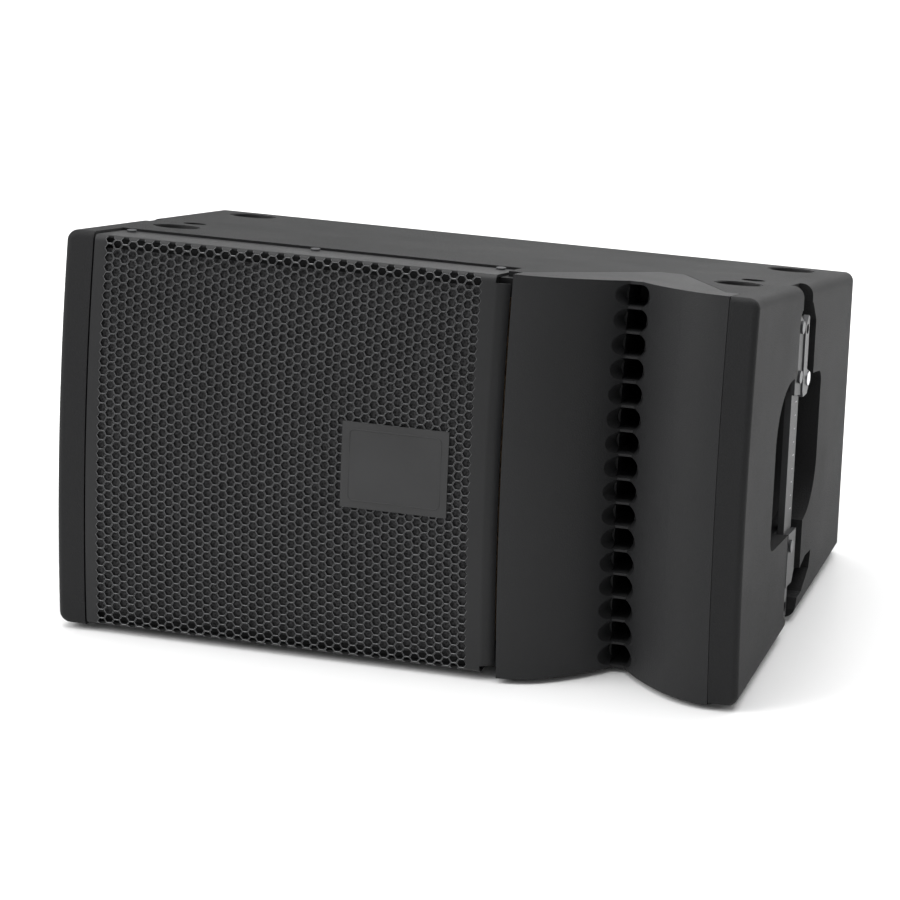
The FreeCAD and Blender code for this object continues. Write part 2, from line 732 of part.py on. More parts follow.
grille = new_body("grille")
section = add_sketch(grille, "YZ_Plane", (0, 0, grille_left))
outline(section, [
    (0, grille_half, front_bow),
    (0, -grille_half),
    (flange_end, -flange_z(flange_end, 0)),
    (flange_end, -flange_z(flange_end, grille_sheet)),
    (grille_sheet, -flange_z(grille_sheet, grille_sheet), -front_bow),
    (grille_sheet, flange_z(grille_sheet, grille_sheet)),
    (flange_end, flange_z(flange_end, grille_sheet)),
    (flange_end, flange_z(flange_end, 0)),
])
pad(grille, section, grille_flat_right - grille_left)
for corner_side in (-1, 1):
    fillet(grille, lambda edge: along_x(edge) and near(edge, y=0, z=grille_half * corner_side), grille_bend)
    fillet(
        grille,
        lambda edge: along_x(edge) and near(
            edge, y=grille_sheet, z=flange_z(grille_sheet, grille_sheet) * corner_side),
        grille_bend - grille_sheet,
    )
turn_sketch = add_sketch(grille, "XY_Plane", (0, bow_centre, 0))
turn_slant = root(grille_turn_run * grille_turn_run + grille_turn_drop * grille_turn_drop)
turn_across = grille_sheet * grille_turn_run / turn_slant
turn_down = grille_sheet * grille_turn_drop / turn_slant
outline(turn_sketch, [
    (grille_flat_right, -bow_radius),
    (grille_right, grille_turn_drop - bow_radius),
    (grille_right - turn_down, grille_turn_drop + turn_across - bow_radius),
    (grille_flat_right, grille_sheet * turn_slant / grille_turn_run - bow_radius),
])
turned_edge = grille.newObject("PartDesign::Revolution", "grille_turned_edge")
turned_edge.Profile = turn_sketch
turned_edge.ReferenceAxis = (turn_sketch, ["H_Axis"])
turned_edge.Midplane = True
turned_edge.Angle = 2 * math.degrees(math.asin(float(grille_half - grille_bend / 2) / float(bow_radius)))
badge_window = add_sketch(grille, "XZ_Plane", (0, 0, 20))
rectangle(
    badge_window, badge_x - badge_width / 2 + 3, badge_z - badge_height / 2 + 3,
    badge_x + badge_width / 2 - 3, badge_z + badge_height / 2 - 3)
pocket(grille, badge_window, 40)
flange_screws = add_sketch(grille, "XY_Plane", (0, 0, half_height))
for x in grille_screw_x:
    circle(flange_screws, x, grille_screw_y, grille_screw_radius + 0.3)
pocket(grille, flange_screws, cab_height)
keep(grille)

foam = new_body("grille_foam")
foam_sketch = add_sketch(foam, "YZ_Plane", (0, 0, grille_left + 3))
foam_front = grille_sheet + 0.1
foam_half = grille_half - grille_bend - 3
foam_bow = front_bow * foam_half * foam_half / (grille_half * grille_half)
outline(foam_sketch, [
    (foam_front, -foam_half),
    (foam_front + foam_sheet, -foam_half, -foam_bow),
    (foam_front + foam_sheet, foam_half),
    (foam_front, foam_half, foam_bow),
])
pad(foam, foam_sketch, grille_flat_right - grille_left - 8)
keep(foam)

badge = new_body("badge_plate")
badge_sketch = add_sketch(badge, "YZ_Plane", (0, 0, badge_x - badge_width / 2))
badge_half = badge_height / 2
badge_low = badge_z - badge_half
badge_high = badge_z + badge_half


def front_y(z, behind=0):
    """Depth of the bowed front at height z, or of a surface that much behind it."""
    return bow_centre - root((bow_radius - behind) * (bow_radius - behind) - z * z)


badge_bow = badge_half * badge_half / (bow_radius * 2)
outline(badge_sketch, [
    (front_y(badge_high, -badge_proud), badge_high, badge_bow),
    (front_y(badge_low, -badge_proud), badge_low),
    (front_y(badge_low, -0.05), badge_low, -badge_bow),
    (front_y(badge_high, -0.05), badge_high),
])
pad(badge, badge_sketch, badge_width)
keep(badge)


def flange_screw(x, side):
    top = flange_z(grille_screw_y, 0)
    outward = None if side > 0 else Rotation(Vector(1, 0, 0), 180)
    head = rod("flange_head", (x, grille_screw_y, (top + 0.45) * side), 3.0, 0.9, outward)
    shank_low = (x, grille_screw_y, (top - 12) * side)
    shank = rod("flange_shank", shank_low, grille_screw_radius - screw_clearance, 12.6, outward)
    return joined("flange_screw", [head, shank])


group("grille_screws", [flange_screw(x, side) for x in grille_screw_x for side in (1, -1)])

# ---------------------------------------------------------------- horn moulding

horn = new_body("horn_moulding")
horn_sketch = add_sketch(horn, "YZ_Plane", (0, 0, horn_left))
outline(horn_sketch, [
    (0, -half_height),
    (notch_apex, -top_z(notch_apex)),
    (notch_apex, top_z(notch_apex)),
    (0, half_height, front_bow),
])
pad(horn, horn_sketch, horn_width)
for side in (-1, 1):
    flank = add_sketch(horn, "XY_Plane", (horn_x, 0, -half_height))
    step = size(0) if side < 0 else notch_step
    land = notch_land - 4 if side < 0 else notch_land
    corners = [
        ((flank_half - step) * side, land),
        (notch_apex_half * side, notch_apex + 0),
        (notch_apex_half * side, notch_apex + 1),
        ((flank_half + 1) * side, notch_apex + 1),
        ((flank_half + 1) * side, land),
    ]
    outline(flank, corners)
    pocket(horn, flank, cab_height, backwards=True)
flare = add_sketch(horn, "XY_Plane", (horn_x, bow_centre, 0))
mouth = bow_radius + 4
outline(flare, [
    (-flank_half, -mouth),
    (-flank_half, -bow_radius, flare_lip_bow),
    (flare_run - flank_half, flare_drop - bow_radius, flare_wall_bow),
    (-throat_half, throat_depth - bow_radius),
    (throat_half, throat_depth - bow_radius, flare_wall_bow),
    (flank_half - flare_run, flare_drop - bow_radius, flare_lip_bow),
    (flank_half, -bow_radius),
    (flank_half, -mouth),
])
groove = horn.newObject("PartDesign::Groove", "horn_flare")
groove.Profile = flare
groove.ReferenceAxis = (flare, ["H_Axis"])
groove.Midplane = True
groove.Angle = 40.0
fan = cell_fan / cell_count
cell_pitch = fan * math.pi / 180 * (bow_radius - throat_depth)
cell_half = (cell_pitch - cell_gap) / 2
mouth_half = cell_half + (throat_depth - front_bow - cell_start) * tangent(cell_draft)


def cell_outline(sketch, middle, half_width, half, bulge):
    """A throat cell: flat above and below, and rounded at both ends."""
    outline(sketch, [
        (-half_width, middle - half),
        (half_width, middle - half, bulge),
        (half_width, middle + half),
        (-half_width, middle + half, bulge),
    ])


for side in (-1, 1):
    middle = cell_pitch / 2 * side
    mouths = add_sketch(horn, "XZ_Plane", (horn_x, 0, -cell_start))
    cell_outline(mouths, middle, cell_width / 2 - mouth_half * 0.8, mouth_half, mouth_half * 0.8)
    scoop = pocket(horn, mouths, cell_scoop)
    bind(scoop, "TaperAngle", -cell_draft)
    cores = add_sketch(horn, "XZ_Plane", (horn_x, 0, -cell_start))
    cell_outline(cores, middle, cell_core / 2 - 1, cell_half - 0.5, 1)
    core = pocket(horn, cores, cell_end - cell_start)
    for cut in (scoop, core):
        pattern = horn.newObject("PartDesign::PolarPattern", "horn_cells")
        pattern.Originals = [cut]
        pattern.Axis = (flare, ["H_Axis"])
        pattern.Reversed = side > 0
        pattern.Mode = "Spacing"
        bind(pattern, "Offset", fan)
        pattern.Occurrences = int(float(cell_count) / 2)
        horn.Tip = pattern
doc.recompute()
boss_sketch = add_sketch(horn, "XZ_Plane", (horn_x, 0, -notch_apex))
circle(boss_sketch, 0, 0, boss_radius)
pad(horn, boss_sketch, 20)
keep(horn)
doc.recompute()


def cavity(body):
    """The tapering passage from the column of cells to the driver's exit."""
    front = add_sketch(body, "XZ_Plane", (horn_x, 0, 0.5 - cell_end))
    column = cell_pitch * cell_count / 2 - slope * (cell_end - throat_depth) - 1.5
    rectangle(front, -cell_core / 2, -column, cell_core / 2, column)
    back = add_sketch(body, "XZ_Plane", (horn_x, 0, -notch_apex - 1))
    rectangle(back, -hf_throat_radius * 0.85, -hf_throat_radius * 0.85,
              hf_throat_radius * 0.85, hf_throat_radius * 0.85)
    loft = body.newObject("PartDesign::SubtractiveLoft", "horn_passage")
    loft.Profile = front
    loft.Sections = [back]
    loft.Ruled = True


cavity(horn)

# ---------------------------------------------------------------- high-frequency driver

hf_y = notch_apex + gasket_sheet
hf_back = hf_y + hf_plate
hf_magnet_back = hf_back + hf_magnet_length
hf_end = hf_magnet_back + hf_cap_length
hf_face = size(0.1)

turned("hf_gasket", horn_x, [
    (hf_throat_radius, notch_apex + hf_face), (boss_radius - 1, notch_apex + hf_face),
    (boss_radius - 1, hf_y), (hf_throat_radius, hf_y),
])
turned("hf_front_plate", horn_x, [
    (hf_throat_radius, hf_y + hf_face), (boss_radius - 1, hf_y + hf_face),
    (hf_radius - 2, hf_y + hf_plate / 2), (hf_radius - 2, hf_back), (hf_throat_radius + 1.5, hf_back),
])
turned("hf_phase_plug", horn_x, [
    (0, hf_back - 1), (4, hf_back + 4), (hf_throat_radius + 2, hf_back + hf_face),
    (hf_throat_radius + 3, hf_back + hf_face), (dome_radius, hf_magnet_back - 12), (0, hf_magnet_back - 6),
])
dome_y = hf_magnet_back - 10
turned("hf_diaphragm", horn_x, [
    (0, dome_y + 5.5, -dome_bow(dome_radius, 5.5)), (dome_radius, dome_y), (dome_radius + 5, dome_y),
    (dome_radius + 5, dome_y + 0.8), (dome_radius + 0.3, dome_y + 0.8, dome_bow(dome_radius + 0.3, 5.5)),
    (0, dome_y + 6.3),
])
turned("hf_magnet_housing", horn_x, [
    (dome_radius + 6, hf_back + hf_face), (hf_radius - 1, hf_back + hf_face), (hf_radius, hf_back + 1),
    (hf_radius, hf_magnet_back - 1), (hf_radius - 1, hf_magnet_back), (dome_radius + 6, hf_magnet_back),
])
turned("hf_rear_cap", horn_x, [
    (hf_radius - 1, hf_magnet_back + hf_face), (hf_radius - 3, hf_end - 4, -2), (hf_radius - 9, hf_end),
    (0, hf_end), (0, hf_end - 2.5), (hf_radius - 11, hf_end - 2.5), (hf_radius - 8, hf_magnet_back + hf_face),
])


def hf_screw(angle):
    """A cap screw on the driver's bolt circle, which clamps it through its housing's flange."""
    radius = hf_radius + 4
    x = horn_x + radius * math.cos(math.radians(angle))
    z = radius * math.sin(math.radians(angle))
    ear = rod("hf_ear", (x, hf_y + 0.2, z), 5.5, hf_plate - 0.4, TO_Y)
    head = rod("hf_head", (x, hf_y + hf_plate - 0.2, z), 4, 4, TO_Y)
    return joined("hf_clamp", [ear, head])


group("hf_clamps", [hf_screw(angle) for angle in (90, 270)])

# ---------------------------------------------------------------- woofer

flange_front = baffle_front - gasket_sheet - woofer_flange
seat_y = flange_front + seat_depth
plate_back = seat_y + seat_sheet + top_plate_thickness
magnet_back = plate_back + magnet_thickness
cone_front = flange_front + 1.8
cone_back = cone_front + cone_depth
former_outer = coil_radius + 0.6
winding_outer = former_outer + 0.8
rim = woofer_cutout - 1.5

gasket = new_body("woofer_gasket")
gasket_sketch = add_sketch(gasket, "XZ_Plane", (woofer_x, 0, gasket_sheet - baffle_front))
circle(gasket_sketch, 0, 0, woofer_radius)
circle(gasket_sketch, 0, 0, woofer_cutout + 0.5)
for x, z in bolt_places:
    circle(gasket_sketch, x, z, woofer_screw_radius + 0.3)
pad(gasket, gasket_sketch, gasket_sheet, backwards=True)
keep(gasket)
basket = new_body("woofer_basket")
add_turn(basket, woofer_x, [
    (rim - 3.5, flange_front), (woofer_radius, flange_front), (woofer_radius, flange_front + woofer_flange),
    (rim, flange_front + woofer_flange), (magnet_radius + 8, seat_y + seat_sheet),
    (winding_outer + 3, seat_y + seat_sheet), (winding_outer + 3, seat_y), (magnet_radius + 5, seat_y),
])
basket_window = add_sketch(basket, "YZ_Plane", (0, 0, woofer_x))
rectangle(basket_window, flange_front + woofer_flange + 9, -24, seat_y - 5, 24)
window_cut = pocket(basket, basket_window, woofer_radius, backwards=True)
window_pattern = basket.newObject("PartDesign::PolarPattern", "woofer_basket_windows")
window_pattern.Originals = [window_cut]
window_pattern.Axis = (basket.Group[0], ["V_Axis"])
window_pattern.Angle = 360.0
window_pattern.Occurrences = 6
basket.Tip = window_pattern
basket_holes = add_sketch(basket, "XZ_Plane", (woofer_x, 0, -flange_front))
for x, z in bolt_places:
    circle(basket_holes, x, z, woofer_screw_radius + 0.3)
pocket(basket, basket_holes, woofer_flange)
keep(basket)

surround_middle = (cone_outer + rim) / 2
surround_roll = (rim - 4 - cone_outer) / 2
turned("woofer_surround", woofer_x, [
    (cone_outer - 5, cone_front - 0.9), (cone_outer, cone_front - 0.9, surround_roll),
    (rim - 3.8, cone_front - 2.5), (rim + 3, flange_front - 0.8), (rim + 3, flange_front - 0.1),
    (rim - 4.6, cone_front - 1.9, 0.8 - surround_roll), (cone_outer + 0.8, cone_front - 0.2),
    (cone_outer - 5, cone_front - 0.2),
])
turned("woofer_cone", woofer_x, [
    (former_outer + 0.1, cone_back, 1.5), (cone_outer, cone_front),
    (cone_outer, cone_front + cone_sheet, -1.5),
    (former_outer + 0.1, cone_back + cone_sheet * 1.6),
])
cap_radius = former_outer + 6
cap_y = cone_back - 6.5
turned("woofer_dust_cap", woofer_x, [
    (0, cap_y - 7.5, dome_bow(cap_radius, 6.5)), (cap_radius, cap_y - 1),
    (cap_radius, cap_y + 0.5, -dome_bow(cap_radius, 6.9)), (0, cap_y - 6.4),
])
coil_end = plate_back + 6
turned("woofer_voice_coil", woofer_x, [
    (coil_radius, cone_back - 1), (former_outer, cone_back - 1), (former_outer, seat_y + seat_sheet - 2),
    (winding_outer, seat_y + seat_sheet - 2), (winding_outer, coil_end), (coil_radius, coil_end),
])
spider_y = cone_back + 8
spider_outer = magnet_radius + 9
ridges = 6
spider_inner = former_outer + 0.2
ridge = (spider_outer - spider_inner) / ridges
front_side = [(spider_inner + ridge * n, spider_y + (1.6 if n % 2 else -1.6)) for n in range(ridges + 1)]
back_side = [(r, y + 0.9) for r, y in reversed(front_side)]
turned("woofer_spider", woofer_x, front_side + back_side)
turned("woofer_top_plate", woofer_x, [
    (winding_outer + coil_gap, seat_y + seat_sheet), (magnet_radius - 2, seat_y + seat_sheet),
    (magnet_radius - 2, plate_back), (winding_outer + coil_gap, plate_back),
])
turned("woofer_magnet", woofer_x, [
    (winding_outer + 6, plate_back), (magnet_radius, plate_back), (magnet_radius, magnet_back),
    (winding_outer + 6, magnet_back),
])
pole = coil_radius - coil_gap
turned("woofer_back_plate", woofer_x, [
    (8, seat_y + seat_sheet), (pole, seat_y + seat_sheet), (pole, magnet_back),
    (magnet_radius - 2, magnet_back),
    (magnet_radius - 2, magnet_back + back_plate_thickness - 1),
    (magnet_radius - 3, magnet_back + back_plate_thickness), (8, magnet_back + back_plate_thickness),
])


def woofer_screw(x, z):
    head = rod("woofer_head", (woofer_x + x, flange_front - 3.1, z), 4.2, 3, TO_Y)
    shank = rod("woofer_shank", (woofer_x + x, flange_front - 1, z), woofer_screw_radius, 17, TO_Y)
    return joined("woofer_screw", [head, shank])


group("woofer_screws", [woofer_screw(x, z) for x, z in bolt_places])

# ---------------------------------------------------------------- crossover, connector plate and cables

board_low_x = size(-185)
board_high_x = size(-70)
board_half = size(62)
board_y = rear_inner - 10
board_sheet = size(1.6)
board_front = board_y - board_sheet
standoff_places = [
    (x, z) for x in (board_low_x + 6, board_high_x - 6) for z in (board_half - 6, 6 - board_half)
]


def standoff(x, z):
    post = rod("standoff_post", (x, board_y + 0.1, z), 3.5, rear_inner - board_y - 0.2, TO_Y)
    head = rod("standoff_head", (x, board_front - 2.1, z), 3, 2, TO_Y)
    shank = rod("standoff_shank", (x, board_front - 1, z), 1.5, 5, TO_Y)
    return joined("standoff", [post, head, shank])


def ring(name, x, y, z, outer, inner, length):
    solid = rod(f"{name}_outer", (x, y, z), outer, length, TO_Y)
    return less(name, solid, [rod(f"{name}_inner", (x, y - 1, z), inner, length + 2, TO_Y)])


board = new_body("crossover_board")
board_sketch = add_sketch(board, "XZ_Plane", (0, 0, -board_front))
rectangle(board_sketch, board_low_x, -board_half, board_high_x, board_half)
for x, z in standoff_places:
    circle(board_sketch, x, z, 1.7)
pad(board, board_sketch, board_sheet, backwards=True)
keep(board)
group("crossover_standoffs", [standoff(x, z) for x, z in standoff_places])
coil_length = size(16)
group("crossover_inductors", [
    ring("inductor", x, board_front - coil_length - 0.1, z, outer, 8, coil_length)
    for x, z, outer in ((-158, 30, 20), (-112, 34, 17), (-150, -34, 16))
])
group("crossover_capacitors", [
    rod("capacitor", (x, board_front - 8.6, z), 8, 32, TO_X)
    for x, z in ((-128, -8), (-126, -28), (-124, -48))
])

plate_y = cab_depth - plate_sunk
connector = new_body("connector_plate")
connector_sketch = add_sketch(connector, "XZ_Plane", (0, 0, -plate_y))
rectangle(connector_sketch, plate_low_x, -plate_half, plate_high_x, plate_half)
for x in socket_x:
    circle(connector_sketch, x, 0, socket_radius)
for x in corner_x:
    for z in corner_z:
        circle(connector_sketch, x, z, 1.8)
pad(connector, connector_sketch, plate_sheet, backwards=True)
keep(connector)

socket_mouth = size(11.5)
socket_front = plate_y - 20


def socket(x):
    """A round locking connector: a cup open to the rear with a short contact core and a flange."""
    body = new_body("socket")
    add_turn(body, x, [
        (0, socket_front), (socket_radius - 0.3, socket_front), (socket_radius - 0.3, plate_y + plate_sheet),
        (socket_radius + 2, plate_y + plate_sheet), (socket_radius + 2, cab_depth - 0.6),
        (socket_mouth, cab_depth - 0.6), (socket_mouth, socket_front + 2.5), (6, socket_front + 2.5),
        (6, socket_front + 8), (0, socket_front + 8),
    ])
    return body


group("speaker_sockets", [socket(x) for x in socket_x])


def plate_screw(x, z):
    head = rod("plate_head", (x, cab_depth - plate_sunk + plate_sheet + 0.1, z), 3, 1.5, TO_Y)
    shank = rod("plate_shank", (x, cab_depth - 14, z), 1.6, 14 - plate_sunk + plate_sheet + 0.5, TO_Y)
    return joined("plate_screw", [head, shank])


group("connector_screws", [plate_screw(x, z) for x in corner_x for z in corner_z])


def cable(label, points, radius):
    """An internal lead: straight runs joined by tangent arcs, each as large as its two runs allow."""
    points = [Vector(*(float(number) for number in point)) for point in points]
    edges = []
    start = points[0]
    for before, at, after in zip(points, points[1:], points[2:]):
        to_before = (before - at).normalize()
        to_after = (after - at).normalize()
        reach = 0.45 * min((before - at).Length, (after - at).Length)
        half_turn = (math.pi - to_before.getAngle(to_after)) / 2
        bend = reach / math.tan(half_turn)
        first = at + to_before * reach
        last = at + to_after * reach
        inward = (to_before + to_after).normalize()
        centre = at + inward * (bend / math.cos(half_turn))
        edges.append(Part.LineSegment(start, first).toShape())
        edges.append(Part.Arc(first, centre - inward * bend, last).toShape())
        start = last
        print(label, "bend radius", round(bend, 1))
    edges.append(Part.LineSegment(start, points[-1]).toShape())
    path = Part.Wire(edges)
    length = path.Length
    heading = (points[1] - points[0]).normalize()
    section = Part.Wire(Part.Circle(points[0], heading, radius).toShape())
    tube = path.makePipeShell([section], True, False)
    print(label, "volume over section times length", round(tube.Volume / (math.pi * radius ** 2 * length), 4))
    item = doc.addObject("Part::Feature", label)
    item.Shape = tube
    return keep(item)


lead = 2.2
cable("input_cable", [
    (socket_x[0] - 1, socket_front - 0.3, 0), (socket_x[0] - 1, socket_front - 24, 0),
    (socket_x[0] - 22, socket_front - 34, 4), (board_high_x + 10, board_front - 22, 10),
    (board_high_x - 10, board_front - 22, 10), (board_high_x - 10, board_front - 0.3, 10),
], lead)
cable("woofer_cable", [
    (board_low_x + 40, board_front - 0.3, 4), (board_low_x + 40, board_front - 26, 4),
    (board_low_x + 30, board_front - 60, -6), (board_low_x + 26, seat_y + 50, -14),
    (board_low_x + 30, seat_y + 20, -20), (woofer_x - 76, seat_y + 2, -20),
], lead)
cable("hf_cable", [
    (board_high_x - 20, board_front - 0.3, -14), (board_high_x - 20, board_front - 30, -14),
    (-50, board_front - 44, -14), (0, board_front - 44, -14), (48, board_front - 44, -12),
    (horn_x - 34, board_front - 44, -8), (horn_x - 12, board_front - 44, -4), (horn_x - 8, hf_end + 0.9, 0),
], lead)

# ---------------------------------------------------------------- rigging on both sides

cup_depth = pocket_depth - side_wall
rail_rear = rail_front + rail_width
link_front = channel_rear - 10.4
link_neck_rear = channel_rear - 0.7
pin_y = link_neck_rear + 2.2
pin_z = size(47)
coupling_y = link_front + 5
coupling_z = size(79.5)
reach = half_height - coupling_z - link_travel
along_face = coupling_y * cosine(taper) + reach * sine(taper)
above_face = coupling_y * sine(taper) - reach * cosine(taper)
coupling_low_y = along_face * cosine(taper) - above_face * sine(taper)
coupling_low_z = along_face * sine(taper) + above_face * cosine(taper) - half_height
screws = []


def cup_block(name, side, grow):
    """The space inside the hand pocket's cup, or with grow as its wall, the cup's outside."""
    body = new_body(name)
    corners = pocket_outline(grow)
    start = side_wall + joint_gap - (0 if float(size(grow)) > 0 else 1)
    end = side_wall + joint_gap + cup_depth + grow
    sketch = side_sketch(body, side, start)
    outline(sketch, corners)
    pad(body, sketch, end - start, backwards=side > 0)
    round_pocket(body, corners, (half_width - (start + end) / 2) * side, grow)
    return body


for side, word in ((-1, "left"), (1, "right")):
    rail_holes = [(y, z, rail_screw_radius + 0.3) for y, z in rail_screws]
    rail_holes.append((coupling_low_y, coupling_low_z, link_hole_radius))
    side_plate(f"{word}_rigging_bar", side, rail_face, rail_thickness, [
        (rail_front, -recess_top - 10), (rail_rear, -recess_top - 9),
        (rail_rear, recess_top - 8), (rail_front, recess_top - 6),
    ], rail_holes)
    side_plate(f"{word}_upper_plate", side, rail_face - plate_thickness, plate_thickness, [
        (recess_front + 3.5, 42), (link_front - 0.6, 39), (link_front - 0.6, recess_top - 10),
        (recess_front + 7, recess_top - 2), (recess_front + 3.5, recess_top - 4),
    ], rail_holes[:2])
    side_plate(f"{word}_lower_bracket", side, rail_face - plate_thickness, plate_thickness, [
        (rail_front + 2, -48), (rail_front + 2, -82), (link_neck_rear - 5, -82), (link_neck_rear, -75),
        (link_neck_rear, -48),
    ], rail_holes[2:3])
    side_plate(f"{word}_sliding_link", side, link_face, link_thickness, [
        (link_front, 41), (link_front + 2.4, 37), (pin_y + 1, 37), (pin_y + 5, 42), (pin_y + 5, 50.5),
        (link_neck_rear, 53.5), (link_neck_rear, 86.5), (link_neck_rear - 3, 88), (link_front, 82),
    ], [(coupling_y, coupling_z, link_hole_radius), (pin_y, pin_z, pin_radius + pin_clearance)])
    turn = TO_MINUS_X if side > 0 else TO_X
    screws += [
        joined("rigging_screw", [
            rod("rigging_head", (inset * side, y, z), 4.0, 1.6, turn),
            rod("rigging_shank", ((inset - 1) * side, y, z), rail_screw_radius, shank, turn),
        ])
        for y, z, inset, shank in [
            (*place, half_width - (0.3 if number != 3 else 3.1), 15 if number != 3 else 12)
            for number, place in enumerate(rail_screws)
        ]
    ]
    pin_head = rod("pin_head", ((half_width - 0.1) * side, pin_y, pin_z), 4.4, 0.8, turn)
    pin_shaft = rod("pin_shaft", ((half_width - 0.6) * side, pin_y, pin_z), pin_radius, 7.8, turn)
    pin = joined(f"{word}_link_pin", [pin_head, pin_shaft])
    pin.Label = f"{word}_link_pin"
    keep(pin)
    cup_outside = cup_block("cup_outside", side, cup_wall)
    cup_inside = cup_block("cup_inside", side, 0)
    handle_cup = less(f"{word}_handle_cup", cup_outside, [cup_inside])
    handle_cup.Label = f"{word}_handle_cup"
    keep(handle_cup)

group("rigging_screws", screws)

# ---------------------------------------------------------------- place, check and write

doc.recompute()
lean = Rotation(Vector(-1, 0, 0), float(taper))
row_y = -cab_depth * (cosine(taper) - slope * sine(taper)) / 2
row_z = half_height * cosine(taper) + foot_height
for piece in pieces:
    piece.Placement = Placement(Vector(0, float(row_y), float(row_z)), lean)
    bind(piece, "Placement.Base.y", row_y)
    bind(piece, "Placement.Base.z", row_z)
    bind(piece, "Placement.Rotation.Angle", taper)
doc.recompute()

for item in doc.Objects:
    if "Invalid" in item.State or "Error" in item.State:
        raise RuntimeError(f"{item.Label} failed: {item.State}")
    if item.TypeId == "PartDesign::Pocket":
        before = item.BaseFeature.Shape.Volume
        if item.Shape.Volume > before - 1:
            raise RuntimeError(f"{item.Name} cuts nothing")
for piece in pieces:
    if piece.Shape.isNull() or not piece.Shape.isValid():
        raise RuntimeError(f"{piece.Label} has no valid shape")

os.makedirs("parts", exist_ok=True)
for piece in pieces:
    piece.Shape.exportStep(f"parts/{piece.Label}.step")
print(len(pieces), "pieces written")
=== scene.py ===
"""Looks of the line array speaker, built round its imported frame.

The sizes are in millimetres, and row() turns them into the frame's metres. Lights and camera are in metres.
"""

import json
import math

import bmesh
import bpy
from mathutils import Matrix, Vector, noise


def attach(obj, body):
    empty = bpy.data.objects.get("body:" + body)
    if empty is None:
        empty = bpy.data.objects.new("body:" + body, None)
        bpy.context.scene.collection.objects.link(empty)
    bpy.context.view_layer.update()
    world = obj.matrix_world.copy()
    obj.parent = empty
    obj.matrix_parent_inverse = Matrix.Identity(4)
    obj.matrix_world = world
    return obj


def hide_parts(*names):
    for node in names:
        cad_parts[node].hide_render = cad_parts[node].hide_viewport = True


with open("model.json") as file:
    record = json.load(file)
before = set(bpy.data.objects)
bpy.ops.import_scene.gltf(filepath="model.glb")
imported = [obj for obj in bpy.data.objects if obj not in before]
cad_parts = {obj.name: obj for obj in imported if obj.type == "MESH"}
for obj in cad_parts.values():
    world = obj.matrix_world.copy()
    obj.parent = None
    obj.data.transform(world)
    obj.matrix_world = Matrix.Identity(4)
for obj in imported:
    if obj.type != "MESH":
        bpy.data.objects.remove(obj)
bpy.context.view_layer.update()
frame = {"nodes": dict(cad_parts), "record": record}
nodes = frame["nodes"]

# ------------------------------------------------------------------ cabinet sizes, in millimetres

TAPER = math.radians(7.3)
HALF_WIDTH = 217.5
HALF_HEIGHT = 125.0
DEPTH = 268.0
BOW = 8.2
FOOT = 3.0
SLOPE = math.tan(TAPER)
ROW_Y = -DEPTH * (math.cos(TAPER) - SLOPE * math.sin(TAPER)) / 2
ROW_Z = HALF_HEIGHT * math.cos(TAPER) + FOOT


def row(x, y, z):
    """A point of the cabinet, in mm about its own mid-plane, as a point of the row frame."""
    return Vector((
        x,
        math.cos(TAPER) * y + math.sin(TAPER) * z + ROW_Y,
        -math.sin(TAPER) * y + math.cos(TAPER) * z + ROW_Z,
    )) / 1000


# ------------------------------------------------------------------ materials

